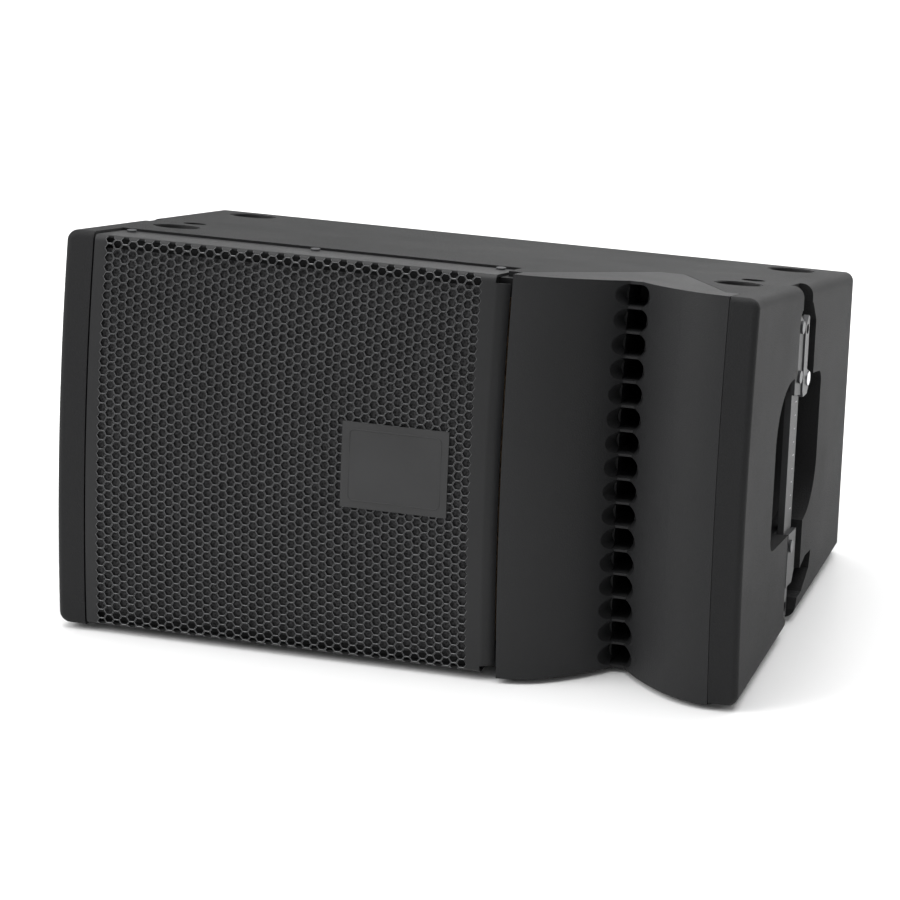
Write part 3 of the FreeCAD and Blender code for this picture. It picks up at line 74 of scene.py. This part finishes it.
class Shader:
    """A node material with one Principled shader."""

    def __init__(self, name):
        self.material = bpy.data.materials.new(name)
        self.material.use_nodes = True
        self.tree = self.material.node_tree
        self.bsdf = self.tree.nodes["Principled BSDF"]
        self.place = self.add("ShaderNodeTexCoord").outputs["Object"]

    def add(self, kind, **settings):
        node = self.tree.nodes.new(kind)
        for key, value in settings.items():
            setattr(node, key, value)
        return node

    def link(self, source, target):
        self.tree.links.new(source, target)

    def noise(self, scale, detail=3.0, rough=0.55, stretch=None, place=None):
        node = self.add("ShaderNodeTexNoise")
        node.inputs["Scale"].default_value = scale
        node.inputs["Detail"].default_value = detail
        node.inputs["Roughness"].default_value = rough
        source = place or self.place
        if stretch:
            mapping = self.add("ShaderNodeMapping")
            mapping.inputs["Scale"].default_value = stretch
            self.link(source, mapping.inputs["Vector"])
            source = mapping.outputs["Vector"]
        self.link(source, node.inputs["Vector"])
        return node.outputs["Fac"]

    def cells(self, scale, feature="F1", stretch=None):
        node = self.add("ShaderNodeTexVoronoi", feature=feature)
        node.inputs["Scale"].default_value = scale
        source = self.place
        if stretch:
            mapping = self.add("ShaderNodeMapping")
            mapping.inputs["Scale"].default_value = stretch
            self.link(source, mapping.inputs["Vector"])
            source = mapping.outputs["Vector"]
        self.link(source, node.inputs["Vector"])
        return node.outputs["Distance"]

    def spread(self, source, low, high, start=0.3, end=0.7):
        node = self.add("ShaderNodeMapRange")
        for key, value in (("From Min", start), ("From Max", end), ("To Min", low), ("To Max", high)):
            node.inputs[key].default_value = value
        self.link(source, node.inputs["Value"])
        return node.outputs["Result"]

    def ramp(self, source, stops):
        node = self.add("ShaderNodeValToRGB")
        elements = node.color_ramp.elements
        while len(elements) < len(stops):
            elements.new(0.5)
        for element, (at, colour) in zip(elements, stops):
            element.position = at
            element.color = (*colour, 1)
        self.link(source, node.inputs["Fac"])
        return node.outputs["Color"]

    def mix(self, factor, low, high, blend="MIX"):
        node = self.add("ShaderNodeMix", data_type="RGBA", blend_type=blend)
        for socket, value in ((node.inputs[0], factor), (node.inputs[6], low), (node.inputs[7], high)):
            if isinstance(value, (int, float)):
                socket.default_value = value
            elif isinstance(value, tuple):
                socket.default_value = (*value, 1)
            else:
                self.link(value, socket)
        return node.outputs[2]

    def sum(self, first, second, weight=1.0):
        scaled = self.add("ShaderNodeMath", operation="MULTIPLY_ADD")
        self.link(second, scaled.inputs[0])
        scaled.inputs[1].default_value = weight
        self.link(first, scaled.inputs[2])
        return scaled.outputs[0]

    def relief(self, height, distance, strength=1.0):
        node = self.add("ShaderNodeBump")
        node.inputs["Strength"].default_value = strength
        node.inputs["Distance"].default_value = distance
        self.link(height, node.inputs["Height"])
        self.link(node.outputs["Normal"], self.bsdf.inputs["Normal"])

    def set(self, **values):
        names = {"metallic": "Metallic", "specular": "Specular IOR Level", "sheen": "Sheen Weight",
                 "coat": "Coat Weight", "coat_roughness": "Coat Roughness", "roughness": "Roughness"}
        for key, value in values.items():
            self.bsdf.inputs[names[key]].default_value = value

    def colour(self, source):
        self.link(source, self.bsdf.inputs["Base Color"])

    def rough(self, source):
        self.link(source, self.bsdf.inputs["Roughness"])


def tint(colour, factor):
    return tuple(min(1.0, channel * factor) for channel in colour)


def textured(name, colour, rough, grain, depth, specular=0.5, metallic=0.0, patches=9.0, contrast=0.12):
    """A matt or satin finish: fine grain in relief, soft patches and faint rubbed flecks."""
    shader = Shader(name)
    fine = shader.noise(grain, 2.0, 0.6)
    bead = shader.cells(grain * 0.6)
    broad = shader.noise(patches, 4.0, 0.6)
    black, white = (0, 0, 0), (1, 1, 1)
    fleck = shader.ramp(shader.noise(170.0, 5.0, 0.7), [(0.0, black), (0.66, black), (0.80, white)])
    base = shader.ramp(broad, [(0.25, tint(colour, 1 - contrast)), (0.75, tint(colour, 1 + contrast))])
    grained = shader.mix(shader.spread(fine, 0.0, 0.35), base, tint(colour, 1.5))
    shader.colour(shader.mix(shader.spread(fleck, 0.0, 0.10, 0.0, 1.0), grained, tint(colour, 2.6)))
    patchy = shader.spread(broad, rough - 0.05, rough + 0.04)
    shader.rough(shader.sum(patchy, shader.spread(fine, -0.05, 0.05)))
    shader.relief(shader.sum(fine, bead, -0.6), depth)
    shader.set(specular=specular, metallic=metallic)
    return shader.material


def brushed(name, colour, rough, along, metallic=1.0):
    """Turned or brushed metal with scratches along one direction."""
    shader = Shader(name)
    stretch = tuple(1.0 if axis in along else 24.0 for axis in "xyz")
    lines = shader.noise(260.0, 4.0, 0.7, stretch)
    broad = shader.noise(30.0, 4.0, 0.6)
    shader.colour(shader.mix(shader.spread(broad, 0.0, 1.0), tint(colour, 0.82), tint(colour, 1.1)))
    lined = shader.spread(lines, rough - 0.08, rough + 0.1)
    shader.rough(shader.sum(lined, shader.spread(broad, -0.04, 0.04)))
    shader.relief(lines, 0.00004)
    shader.set(metallic=metallic)
    return shader.material


def fibrous(name, colour, other, scale, depth):
    """Cloth, paper or felt made of fine tangled fibres."""
    shader = Shader(name)
    first = shader.noise(scale, 5.0, 0.7, (1, 1, 6))
    second = shader.noise(scale, 5.0, 0.7, (6, 1, 1))
    both = shader.sum(first, second)
    shader.colour(shader.mix(shader.spread(both, 0, 1, 0.7, 1.3), colour, other))
    shader.rough(shader.spread(both, 0.8, 0.95, 0.7, 1.3))
    shader.relief(both, depth)
    shader.set(specular=0.2, sheen=0.15)
    return shader.material


def open_foam(name, colour):
    """Open-cell foam: round pores with thin bright walls; the dark pores are painted shade and the bright
    walls a painted highlight.
    """
    shader = Shader(name)
    pores = shader.cells(620.0)
    fine = shader.noise(1500.0, 2.0)
    # Colour: painted shade darkens each pore's centre, and the thin walls between the pores are painted
    # lighter
    shader.colour(shader.mix(shader.spread(pores, 0, 1, 0.1, 0.8), tint(colour, 0.35), tint(colour, 1.4)))
    shader.rough(shader.spread(fine, 0.85, 0.98))
    shader.relief(pores, 0.0006)
    shader.set(specular=0.15)
    return shader.material


def wood(name, light, dark):
    shader = Shader(name)
    grain = shader.noise(55.0, 6.0, 0.65, (0.25, 3.0, 3.0))
    ply = shader.noise(14.0, 3.0, 0.5, (0.4, 1.0, 1.0))
    shader.colour(shader.mix(shader.spread(shader.sum(grain, ply, 0.5), 0, 1, 0.5, 1.0), light, dark))
    shader.rough(shader.spread(grain, 0.55, 0.75))
    shader.relief(grain, 0.0001)
    return shader.material


def wound(name, colour):
    """Enamelled wire wound in close turns."""
    shader = Shader(name)
    turns = shader.add("ShaderNodeTexWave", wave_type="BANDS", bands_direction="Y")
    turns.inputs["Scale"].default_value = 300.0
    turns.inputs["Distortion"].default_value = 0.4
    shader.link(shader.place, turns.inputs["Vector"])
    # Colour: painted shade darkens the grooves between turns and the crests are painted lighter, on the same
    # bands as the relief
    shader.colour(shader.mix(turns.outputs["Fac"], tint(colour, 0.55), tint(colour, 1.15)))
    shader.rough(shader.spread(shader.noise(90.0), 0.28, 0.42))
    shader.relief(turns.outputs["Fac"], 0.0003)
    shader.set(metallic=0.8)
    return shader.material


def laminate(name, colour, trace):
    """A printed circuit laminate with faint tracks."""
    shader = Shader(name)
    tracks = shader.ramp(
        shader.cells(70.0, "DISTANCE_TO_EDGE"), [(0.0, (1, 1, 1)), (0.05, (1, 1, 1)), (0.08, (0, 0, 0))])
    shader.colour(shader.mix(tracks, colour, trace))
    shader.rough(shader.spread(shader.noise(200.0), 0.22, 0.38))
    shader.relief(tracks, 0.00008)
    return shader.material


BLACK = (0.010, 0.0104, 0.0112)
materials = {
    "cabinet_paint": textured("cabinet_paint", (0.0088, 0.0089, 0.0094), 0.62, 1500.0, 0.00022, 0.2),
    "inner_board": wood("inner_board", (0.55, 0.38, 0.22), (0.30, 0.18, 0.09)),
    "damping": fibrous("damping", (0.66, 0.64, 0.58), (0.40, 0.39, 0.36), 420.0, 0.0012),
    "rubber": textured("rubber", (0.012, 0.012, 0.012), 0.72, 900.0, 0.00008, 0.4),
    "cup_plastic": textured("cup_plastic", (0.006, 0.006, 0.0064), 0.6, 1300.0, 0.00006, 0.35),
    "black_screws": textured("black_screws", (0.075, 0.076, 0.08), 0.38, 1800.0, 0.00003, 0.5, 0.7),
    "grille_metal": textured("grille_metal", (0.017, 0.0172, 0.0178), 0.46, 1700.0, 0.00005, 0.22, 0.0, 14.0),
    # Same metal as the grille, painted much lighter for the hole chamfers as a painted highlight (edge glint)
    "painted_edge_glint": textured("painted_edge_glint", (0.19, 0.192, 0.196), 0.34, 1700.0, 0.00003, 0.6, 0.4),
    "foam": open_foam("foam", (0.036, 0.036, 0.037)),
    "badge": brushed("badge", (0.024, 0.0242, 0.0248), 0.5, "x", 0.2),
    "horn_plastic": textured("horn_plastic", (0.0150, 0.0152, 0.0158), 0.52, 1500.0, 0.00010, 0.2),
    "gasket": textured("gasket", (0.02, 0.02, 0.02), 0.8, 700.0, 0.0002, 0.3),
    "magnet": textured("magnet", (0.09, 0.09, 0.095), 0.42, 500.0, 0.0001, 0.5, 0.8),
    "hf_plastic": textured("hf_plastic", (0.015, 0.015, 0.015), 0.5, 1100.0, 0.00005),
    "hf_dome": brushed("hf_dome", (0.55, 0.55, 0.58), 0.22, "xz"),
    "clamp_steel": brushed("clamp_steel", (0.48, 0.48, 0.50), 0.3, "y"),
    "basket_paint": textured("basket_paint", (0.014, 0.014, 0.014), 0.4, 900.0, 0.0001),
    "cone_paper": fibrous("cone_paper", (0.018, 0.018, 0.018), (0.035, 0.034, 0.032), 300.0, 0.0003),
    "spider_cloth": fibrous("spider_cloth", (0.42, 0.26, 0.09), (0.30, 0.17, 0.05), 900.0, 0.0002),
    "coil": wound("coil", (0.62, 0.30, 0.13)),
    "board": laminate("board", (0.015, 0.09, 0.035), (0.04, 0.20, 0.07)),
    "capacitor": textured("capacitor", (0.42, 0.05, 0.03), 0.25, 300.0, 0.00005),
    "plate_paint": textured("plate_paint", (0.016, 0.016, 0.017), 0.42, 1500.0, 0.00007),
    "socket_plastic": textured("socket_plastic", (0.008, 0.008, 0.009), 0.45, 1300.0, 0.00005),
    "cable_jacket": textured("cable_jacket", (0.012, 0.012, 0.012), 0.5, 700.0, 0.00005),
    "rigging_steel": textured("rigging_steel", (0.030, 0.0305, 0.032), 0.45, 1600.0, 0.00010, 0.5),
    "link_steel": textured("link_steel", (0.042, 0.0425, 0.045), 0.40, 1500.0, 0.00008, 0.5, 0.2),
    "pin_steel": brushed("pin_steel", (0.62, 0.62, 0.64), 0.22, "x"),
    "handle_plastic": textured("handle_plastic", (0.008, 0.008, 0.0085), 0.55, 1200.0, 0.00008, 0.4),
}
slots = {part["node"]: part["material_slot"] for part in frame["record"]["subparts"]}


def finish_with(piece, slot):
    piece.data.materials.clear()
    piece.data.materials.append(materials[slot])


for name, node in nodes.items():
    finish_with(node, slots[name])


def soften(names, width, segments=2, angle=35):
    """Small rounded edges on CAD plates, by modifiers."""
    for name in names:
        piece = nodes[name]
        weld = piece.modifiers.new("weld", "WELD")
        weld.merge_threshold = 0.00002
        flat = piece.modifiers.new("flat", "DECIMATE")
        flat.decimate_type = "DISSOLVE"
        flat.angle_limit = math.radians(0.6)
        edge = piece.modifiers.new("edge", "BEVEL")
        edge.width = width
        edge.segments = segments
        edge.limit_method = "ANGLE"
        edge.angle_limit = math.radians(angle)
        edge.harden_normals = True
        normals = piece.modifiers.new("normals", "WEIGHTED_NORMAL")
        normals.keep_sharp = True


for side in ("left", "right"):
    soften([f"{side}_rigging_bar", f"{side}_upper_plate", f"{side}_lower_bracket"], 0.0005)
    soften([f"{side}_sliding_link"], 0.0004)
soften(["badge_plate"], 0.0005)

# ------------------------------------------------------------------ mesh helpers


def piece_from(name, mesh_build, slot, body="cabinet", sharp=40.0):
    """A new piece from a bmesh, riding on a body. Edges sharper than the angle stay crisp."""
    bmesh.ops.recalc_face_normals(mesh_build, faces=mesh_build.faces)
    limit = math.radians(sharp)
    for edge in mesh_build.edges:
        edge.smooth = len(edge.link_faces) == 2 and edge.calc_face_angle(0.0) < limit
    for face in mesh_build.faces:
        face.smooth = True
    mesh = bpy.data.meshes.new(name)
    mesh_build.to_mesh(mesh)
    mesh_build.free()
    piece = bpy.data.objects.new(name, mesh)
    bpy.context.scene.collection.objects.link(piece)
    finish_with(piece, slot)
    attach(piece, body)
    return piece


# ------------------------------------------------------------------ grille

SHEET = 1.5
GRILLE_HALF = 123.5
GRILLE_BEND = 4.0
FLANGE_END = 49.3
GRILLE_R = (GRILLE_HALF ** 2 + BOW ** 2) / (2 * BOW)
GRILLE_CENTRE = GRILLE_R - BOW
GRILLE_LEFT = -198.5
FLAT_RIGHT = 57.8
TURN_RIGHT = 64.8
TURN_DROP = 5.0
HOLES_LEFT = -192.0
HOLES_RIGHT = 48.6
PITCH = 5.8
ROWS = 43
COLUMNS = 48
WEB = 0.8
PUNCH_CHAMFER = 0.3
SOLID_LEFT = HOLES_LEFT - 0.6
SOLID_RIGHT = HOLES_RIGHT + 0.6
FLAT_END = FLAT_RIGHT - 1.2

inside = GRILLE_R - GRILLE_BEND
low, high = 0.0, 10.0
for step in range(60):
    bend_y = (low + high) / 2
    bend_z = GRILLE_HALF - SLOPE * bend_y - GRILLE_BEND / math.cos(TAPER)
    if (bend_y - GRILLE_CENTRE) ** 2 + bend_z ** 2 > inside ** 2:
        low = bend_y
    else:
        high = bend_y
bow_angle = math.asin(bend_z / inside)
bow_run = bow_angle * GRILLE_R
bend_angle = math.pi / 2 - TAPER - bow_angle
bend_run = bow_run + bend_angle * GRILLE_BEND
flange_start = Vector((bend_y + GRILLE_BEND * math.sin(TAPER), bend_z + GRILLE_BEND * math.cos(TAPER)))
flange_run = bend_run + (FLANGE_END - flange_start.x) / math.cos(TAPER)


def on_grille(x, run, deep):
    """The row point at width x, that far along the sheet's face from its middle, that deep."""
    side = 1 if run >= 0 else -1
    run = abs(run)
    if run <= bow_run:
        angle = run / GRILLE_R
        y = GRILLE_CENTRE - (GRILLE_R - deep) * math.cos(angle)
        z = (GRILLE_R - deep) * math.sin(angle)
    elif run <= bend_run:
        angle = bow_angle + (run - bow_run) / GRILLE_BEND
        y = bend_y - (GRILLE_BEND - deep) * math.cos(angle)
        z = bend_z + (GRILLE_BEND - deep) * math.sin(angle)
    else:
        past = run - bend_run
        y = flange_start.x + past * math.cos(TAPER) - deep * math.sin(TAPER)
        z = flange_start.y - past * math.sin(TAPER) - deep * math.cos(TAPER)
    return row(x, y, z * side)


def hexagon_sheet():
    """The perforated sheet laid flat: x across, y along its face, z its depth. Later bent to shape."""
    build = bmesh.new()
    known = {}

    def point(x, run, deep):
        key = (round(x, 3), round(run, 3), round(deep, 3))
        if key not in known:
            known[key] = build.verts.new((x, run, deep))
        return known[key]

    def face(*corners):
        corners = list(dict.fromkeys(corners))
        if len(corners) > 2:
            build.faces.new(corners)

    def sheet_quad(first, second, third, fourth):
        """One quad in the front face and one in the back."""
        face(*(point(x, run, 0.0) for x, run in (first, second, third, fourth)))
        face(*(point(x, run, SHEET) for x, run in (fourth, third, second, first)))

    across = (HOLES_RIGHT - HOLES_LEFT) / (1.5 * (COLUMNS - 1) + 2)
    tall = PITCH / 2
    hole = 1 - WEB / PITCH
    mouth = hole + 0.4 / PITCH
    corners = [(1, 0), (0.5, 1), (-0.5, 1), (-1, 0), (-0.5, -1), (0.5, -1)]
    top_line = ROWS * PITCH / 2 + 1.2
    left_edges, right_edges, top_edges, bottom_edges = [], [], [], []
    for column in range(COLUMNS):
        rows = ROWS - column % 2
        x = HOLES_LEFT + across * (1 + 1.5 * column)
        for number in range(rows):
            run = (number - (rows - 1) / 2) * PITCH
            rings = [
                [(x + across * cx * size, run + tall * cy * size) for cx, cy in corners]
                for size in (1.0, mouth, hole)
            ]
            steps = [
                (rings[0], 0), (rings[1], 0), (rings[2], PUNCH_CHAMFER), (rings[2], SHEET), (rings[0], SHEET),
            ]
            for k in range(6):
                n = (k + 1) % 6
                for (near, top), (far, low) in zip(steps, steps[1:]):
                    face(point(*near[k], top), point(*near[n], top), point(*far[n], low), point(*far[k], low))
                pair = (rings[0][k], rings[0][n])
                if column == 0 and k in (2, 3):
                    left_edges.append(pair)
                elif column == COLUMNS - 1 and k in (0, 5):
                    right_edges.append(pair)
                elif number == rows - 1 and (k == 1 or (rows == ROWS and k in (0, 2))):
                    top_edges.append(pair)
                elif number == 0 and (k == 4 or (rows == ROWS and k in (3, 5))):
                    bottom_edges.append(pair)

    def unique(edges, axis):
        return sorted({round(end[axis], 3) for pair in edges for end in pair})

    for edges, line, edge_x in ((left_edges, SOLID_LEFT, GRILLE_LEFT), (right_edges, SOLID_RIGHT, FLAT_END)):
        for (x0, r0), (x1, r1) in edges:
            sheet_quad((x0, r0), (x1, r1), (line, r1), (line, r0))
            sheet_quad((line, r0), (line, r1), (edge_x, r1), (edge_x, r0))
    for edges, line in ((top_edges, top_line), (bottom_edges, -top_line)):
        end = flange_run if line > 0 else -flange_run
        for (x0, r0), (x1, r1) in edges:
            sheet_quad((x0, r0), (x1, r1), (x1, line), (x0, line))
            sheet_quad((x0, line), (x1, line), (x1, end), (x0, end))
        ends = unique(edges, 0)
        corners_of = [corner for pair in edges for corner in pair]
        reach = [
            max(abs(r) for x, r in corners_of if abs(x - at) < 0.002)
            for at in (ends[0], ends[-1])
        ]
        sign = 1 if line > 0 else -1
        for at, tip, side_line, side_edge in (
            (ends[0], reach[0], SOLID_LEFT, GRILLE_LEFT),
            (ends[-1], reach[1], SOLID_RIGHT, FLAT_END),
        ):
            tip *= sign
            sheet_quad((at, tip), (side_line, tip), (side_line, line), (at, line))
            sheet_quad((at, line), (side_line, line), (side_line, end), (at, end))
            sheet_quad((side_line, tip), (side_edge, tip), (side_edge, line), (side_line, line))
            sheet_quad((side_line, line), (side_edge, line), (side_edge, end), (side_line, end))
    return build, point, face


build, point, face = hexagon_sheet()
edge_runs = sorted({
    round(v.co.y, 3) for v in build.verts
    if abs(v.co.x - FLAT_END) < 0.01 and v.co.z == 0
})
strip = [
    (FLAT_END, 0.0), (FLAT_RIGHT - 0.3, 0.12), (FLAT_RIGHT + 0.5, 0.5), (TURN_RIGHT - 0.5, TURN_DROP - 0.35),
    (TURN_RIGHT, TURN_DROP + 0.1), (TURN_RIGHT - 0.9, TURN_DROP + 1.2), (FLAT_RIGHT - 0.5, SHEET + 0.35),
    (FLAT_END, SHEET),
]
turn_limit = bow_run + 1.0
for low, high in zip(edge_runs, edge_runs[1:]):
    if abs(low) > turn_limit or abs(high) > turn_limit:
        continue
    for (x0, d0), (x1, d1) in zip(strip, strip[1:]):
        face(point(x0, low, d0), point(x1, low, d1), point(x1, high, d1), point(x0, high, d0))
used = [run for run in edge_runs if abs(run) <= turn_limit]
for run in (used[0], used[-1]):
    face(*(point(x, run, d) for x, d in strip))
cuts = [bow_run + (bend_run - bow_run) * number / 7 for number in range(8)]
for cut in cuts + [-cut for cut in cuts]:
    bmesh.ops.bisect_plane(
        build, geom=build.verts[:] + build.edges[:] + build.faces[:], dist=0.0001,
        plane_co=(0, cut, 0), plane_no=(0, 1, 0))
bmesh.ops.remove_doubles(build, verts=build.verts[:], dist=0.0005)
rims = [edge for edge in build.edges if len(edge.link_faces) == 1]
bridge = {}
for edge in rims:
    for vert in edge.verts:
        bridge.setdefault((round(vert.co.x, 2), round(vert.co.y, 2)), {})[round(vert.co.z, 2)] = vert
for edge in rims:
    first, second = edge.verts
    if first.co.z > 0.01:
        continue
    over = [bridge[(round(v.co.x, 2), round(v.co.y, 2))].get(SHEET) for v in (first, second)]
    if None not in over and second.co.z < 0.01:
        build.faces.new((first, second, over[1], over[0]))
build.faces.index_update()
# The chamfer faces round each punched hole take the lighter material: a painted edge glint, not a different
# finish
glint_chamfers = [
    rim_face.index for rim_face in build.faces
    if {round(vert.co.z, 2) for vert in rim_face.verts} == {0.0, PUNCH_CHAMFER}
]
for vert in build.verts:
    vert.co = on_grille(vert.co.x, vert.co.y, vert.co.z)
grille = piece_from("grille_perforated", build, "grille_metal", sharp=28.0)
grille.data.materials.append(materials["painted_edge_glint"])
for index in glint_chamfers:
    grille.data.polygons[index].material_index = 1
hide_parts("grille")

# ------------------------------------------------------------------ foam behind the grille


def bowed_slab(name, slot, low_x, high_x, half, front, thick, wobble, step=4.0):
    """A soft sheet behind the grille, gently uneven, following its bow."""
    build = bmesh.new()
    columns = int((high_x - low_x) / step)
    rows = int(2 * half / step)
    layers = []
    for deep, sign in ((front, 1), (front + thick, -1)):
        grid = []
        for i in range(columns + 1):
            line = []
            for j in range(rows + 1):
                x = low_x + (high_x - low_x) * i / columns
                run = -half + 2 * half * j / rows
                edge = min(i, columns - i, j, rows - j)
                rounding = 0.45 * thick * (1 - min(1.0, edge / 2.0)) ** 2 * sign
                soft = wobble * noise.noise(Vector((x * 0.05, run * 0.05, deep)))
                wave = soft * (1 if sign < 0 else 0.5)
                line.append(build.verts.new(on_grille(x, run, deep + rounding + wave)))
            grid.append(line)
        layers.append(grid)
    for number, grid in enumerate(layers):
        for i in range(columns):
            for j in range(rows):
                build.faces.new((grid[i][j], grid[i + 1][j], grid[i + 1][j + 1], grid[i][j + 1]))
    front_grid, back_grid = layers
    border = [(i, 0) for i in range(columns)] + [(columns, j) for j in range(rows)]
    border += [(i, rows) for i in range(columns, 0, -1)] + [(0, j) for j in range(rows, 0, -1)]
    for this, following in zip(border, border[1:] + border[:1]):
        build.faces.new((
            front_grid[this[0]][this[1]], front_grid[following[0]][following[1]],
            back_grid[following[0]][following[1]], back_grid[this[0]][this[1]]))
    return piece_from(name, build, slot, sharp=60.0)


foam = bowed_slab("grille_foam_sheet", "foam", -195.4, 52.6, 116.0, SHEET + 0.35, 2.6, 0.25)
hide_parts("grille_foam")

# ------------------------------------------------------------------ fibre filling inside the cabinet


def fibre_pad(name, low, high):
    """A lumpy block of fibre between two corners of the cabinet's frame, in mm."""
    build = bmesh.new()
    bmesh.ops.create_cube(build, size=1.0)
    bmesh.ops.subdivide_edges(build, edges=build.edges[:], cuts=9, use_grid_fill=True)
    centre = (Vector(low) + Vector(high)) / 2
    span = Vector(high) - Vector(low)
    for vert in build.verts:
        flat = vert.co * 2
        ball = flat.normalized() * max(abs(part) for part in flat)
        soft = flat.lerp(ball, 0.10) * 0.49
        place = Vector((soft.x * span.x, soft.y * span.y, soft.z * span.z))
        lump = 1 - 0.06 * (1 + noise.noise(place * 0.06))
        vert.co = row(*(centre + place * lump))
    return piece_from(name, build, "damping", sharp=80.0)


def node_corners(name):
    """The corners of a CAD node in the cabinet's frame."""
    points = []
    for vert in nodes[name].data.vertices:
        x, y, z = vert.co * 1000
        y -= ROW_Y
        z -= ROW_Z
        points.append((
            x, math.cos(TAPER) * y - math.sin(TAPER) * z, math.sin(TAPER) * y + math.cos(TAPER) * z))
    upper = [point for point in points if point[2] > 0]
    lower = [point for point in points if point[2] <= 0]
    return [
        ([min(p[axis] for p in group) for axis in range(3)],
         [max(p[axis] for p in group) for axis in range(3)])
        for group in (upper, lower)
    ]


for word, (low, high) in zip(("upper", "lower"), node_corners("damping_pads")):
    pad = fibre_pad(f"fibre_{word}", low, high)
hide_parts("damping_pads")

# ------------------------------------------------------------------ small details on the outside


def bow_y(z, behind=0.0):
    """Depth of the grille's bowed face at height z."""
    return GRILLE_CENTRE - math.sqrt((GRILLE_R - behind) ** 2 - z * z)


BADGE_X = 0.4
BADGE_Z = -0.2
BADGE_PROUD = 0.35


def badge_rim():
    """A thin raised border round a plain badge plate."""
    build = bmesh.new()
    half_x, half_z, radius = 29.0, 22.0, 3.0
    outline = []
    for cx, cz, start in ((1, 1, 0), (-1, 1, 90), (-1, -1, 180), (1, -1, 270)):
        for step in range(7):
            angle = math.radians(start + 15 * step)
            outline.append((
                cx * (half_x - radius) + radius * math.cos(angle),
                cz * (half_z - radius) + radius * math.sin(angle), math.cos(angle), math.sin(angle)))
    profile = [(-0.45, 0.0), (-0.25, 0.28), (0.25, 0.28), (0.45, 0.0)]
    rings = []
    for x, z, nx, nz in outline:
        ring = []
        for out, up in profile:
            high = BADGE_Z + z + out * nz
            ring.append(build.verts.new(row(BADGE_X + x + out * nx, bow_y(high) - BADGE_PROUD - up, high)))
        rings.append(ring)
    for this, following in zip(rings, rings[1:] + rings[:1]):
        for k in range(3):
            build.faces.new((this[k], this[k + 1], following[k + 1], following[k]))
    return piece_from("badge_rim", build, "badge", sharp=50.0)


badge_rim()


TICK_START = 134.5
TICK_HALF = 0.3
TICK_FACE = HALF_WIDTH - 4.8 + 0.03
tick_paint = textured("tick_paint", (0.55, 0.55, 0.56), 0.5, 1500.0, 0.00004)


def bar_ticks():
    """Short engraved marks on the grip bars, filled with pale paint."""
    for side in (-1, 1):
        build = bmesh.new()
        for number in range(9):
            z = -34 + 8.5 * number
            length = 3.2 if number % 4 == 0 else 1.8
            ends = (TICK_START, TICK_START + length)
            low, high = z - TICK_HALF, z + TICK_HALF
            corners = [(ends[0], low), (ends[1], low), (ends[1], high), (ends[0], high)]
            build.faces.new([build.verts.new(row(side * TICK_FACE, y, up)) for y, up in corners])
        word = "right" if side > 0 else "left"
        ticks = piece_from(f"{word}_bar_ticks", build, "link_steel")
        ticks.data.materials.clear()
        ticks.data.materials.append(tick_paint)


bar_ticks()

# ------------------------------------------------------------------ studio


def plain(name, colour, rough):
    shader = Shader(name)
    shader.colour(shader.mix(shader.spread(shader.noise(3.0, 2.0), 0, 1), tint(colour, 0.995), colour))
    shader.rough(shader.spread(shader.noise(40.0), rough - 0.02, rough + 0.02))
    shader.set(specular=0.25)
    return shader.material


build = bmesh.new()
bmesh.ops.create_grid(build, x_segments=8, y_segments=8, size=14.0)
floor_mesh = bpy.data.meshes.new("floor")
build.to_mesh(floor_mesh)
build.free()
floor = bpy.data.objects.new("floor", floor_mesh)
floor.location = (0, 0, -0.0005)
bpy.context.scene.collection.objects.link(floor)
floor.data.materials.append(plain("floor_white", (0.92, 0.92, 0.92), 0.5))


def soft_light(name, place, target, width, height, power, colour=(1, 1, 1)):
    lamp = bpy.data.lights.new(name, "AREA")
    lamp.shape = "RECTANGLE"
    lamp.size = width
    lamp.size_y = height
    lamp.energy = power
    lamp.color = colour
    item = bpy.data.objects.new(name, lamp)
    item.location = place
    item.rotation_euler = (Vector(target) - Vector(place)).to_track_quat("-Z", "Y").to_euler()
    bpy.context.scene.collection.objects.link(item)
    return item


soft_light("overhead", (0.0, 0.3, 2.6), (0, 0, 0), 3.2, 3.2, 95)
soft_light("key_left", (-1.8, -1.2, 1.5), (0, 0, 0.12), 1.4, 1.4, 40)
soft_light("rim_back", (0.6, 2.4, 1.1), (0, 0, 0.2), 2.4, 0.9, 20)

world = bpy.data.worlds.new("studio")
world.use_nodes = True
background = world.node_tree.nodes["Background"]
background.inputs["Color"].default_value = (1.0, 1.0, 1.0, 1.0)
background.inputs["Strength"].default_value = 0.45
scene = bpy.context.scene
scene.world = world
scene.view_settings.view_transform = "Standard"
scene.view_settings.look = "None"

camera_data = bpy.data.cameras.new("camera")
camera_data.sensor_width = 36.0
camera_data.lens = 186.04
camera_data.clip_end = 60.0
camera = bpy.data.objects.new("camera", camera_data)
right = Vector((0.95396, 0.29991, 0.00175)).normalized()
ahead = Vector((-0.27959, 0.89139, -0.35672)).normalized()
up = right.cross(ahead)
turn = Matrix((right, up, -ahead)).transposed().to_4x4()
place = Vector((0.83516, -2.61213, 1.13703)) - right * 0.0228
camera.matrix_world = Matrix.Translation(place) @ turn
scene.collection.objects.link(camera)
scene.camera = camera
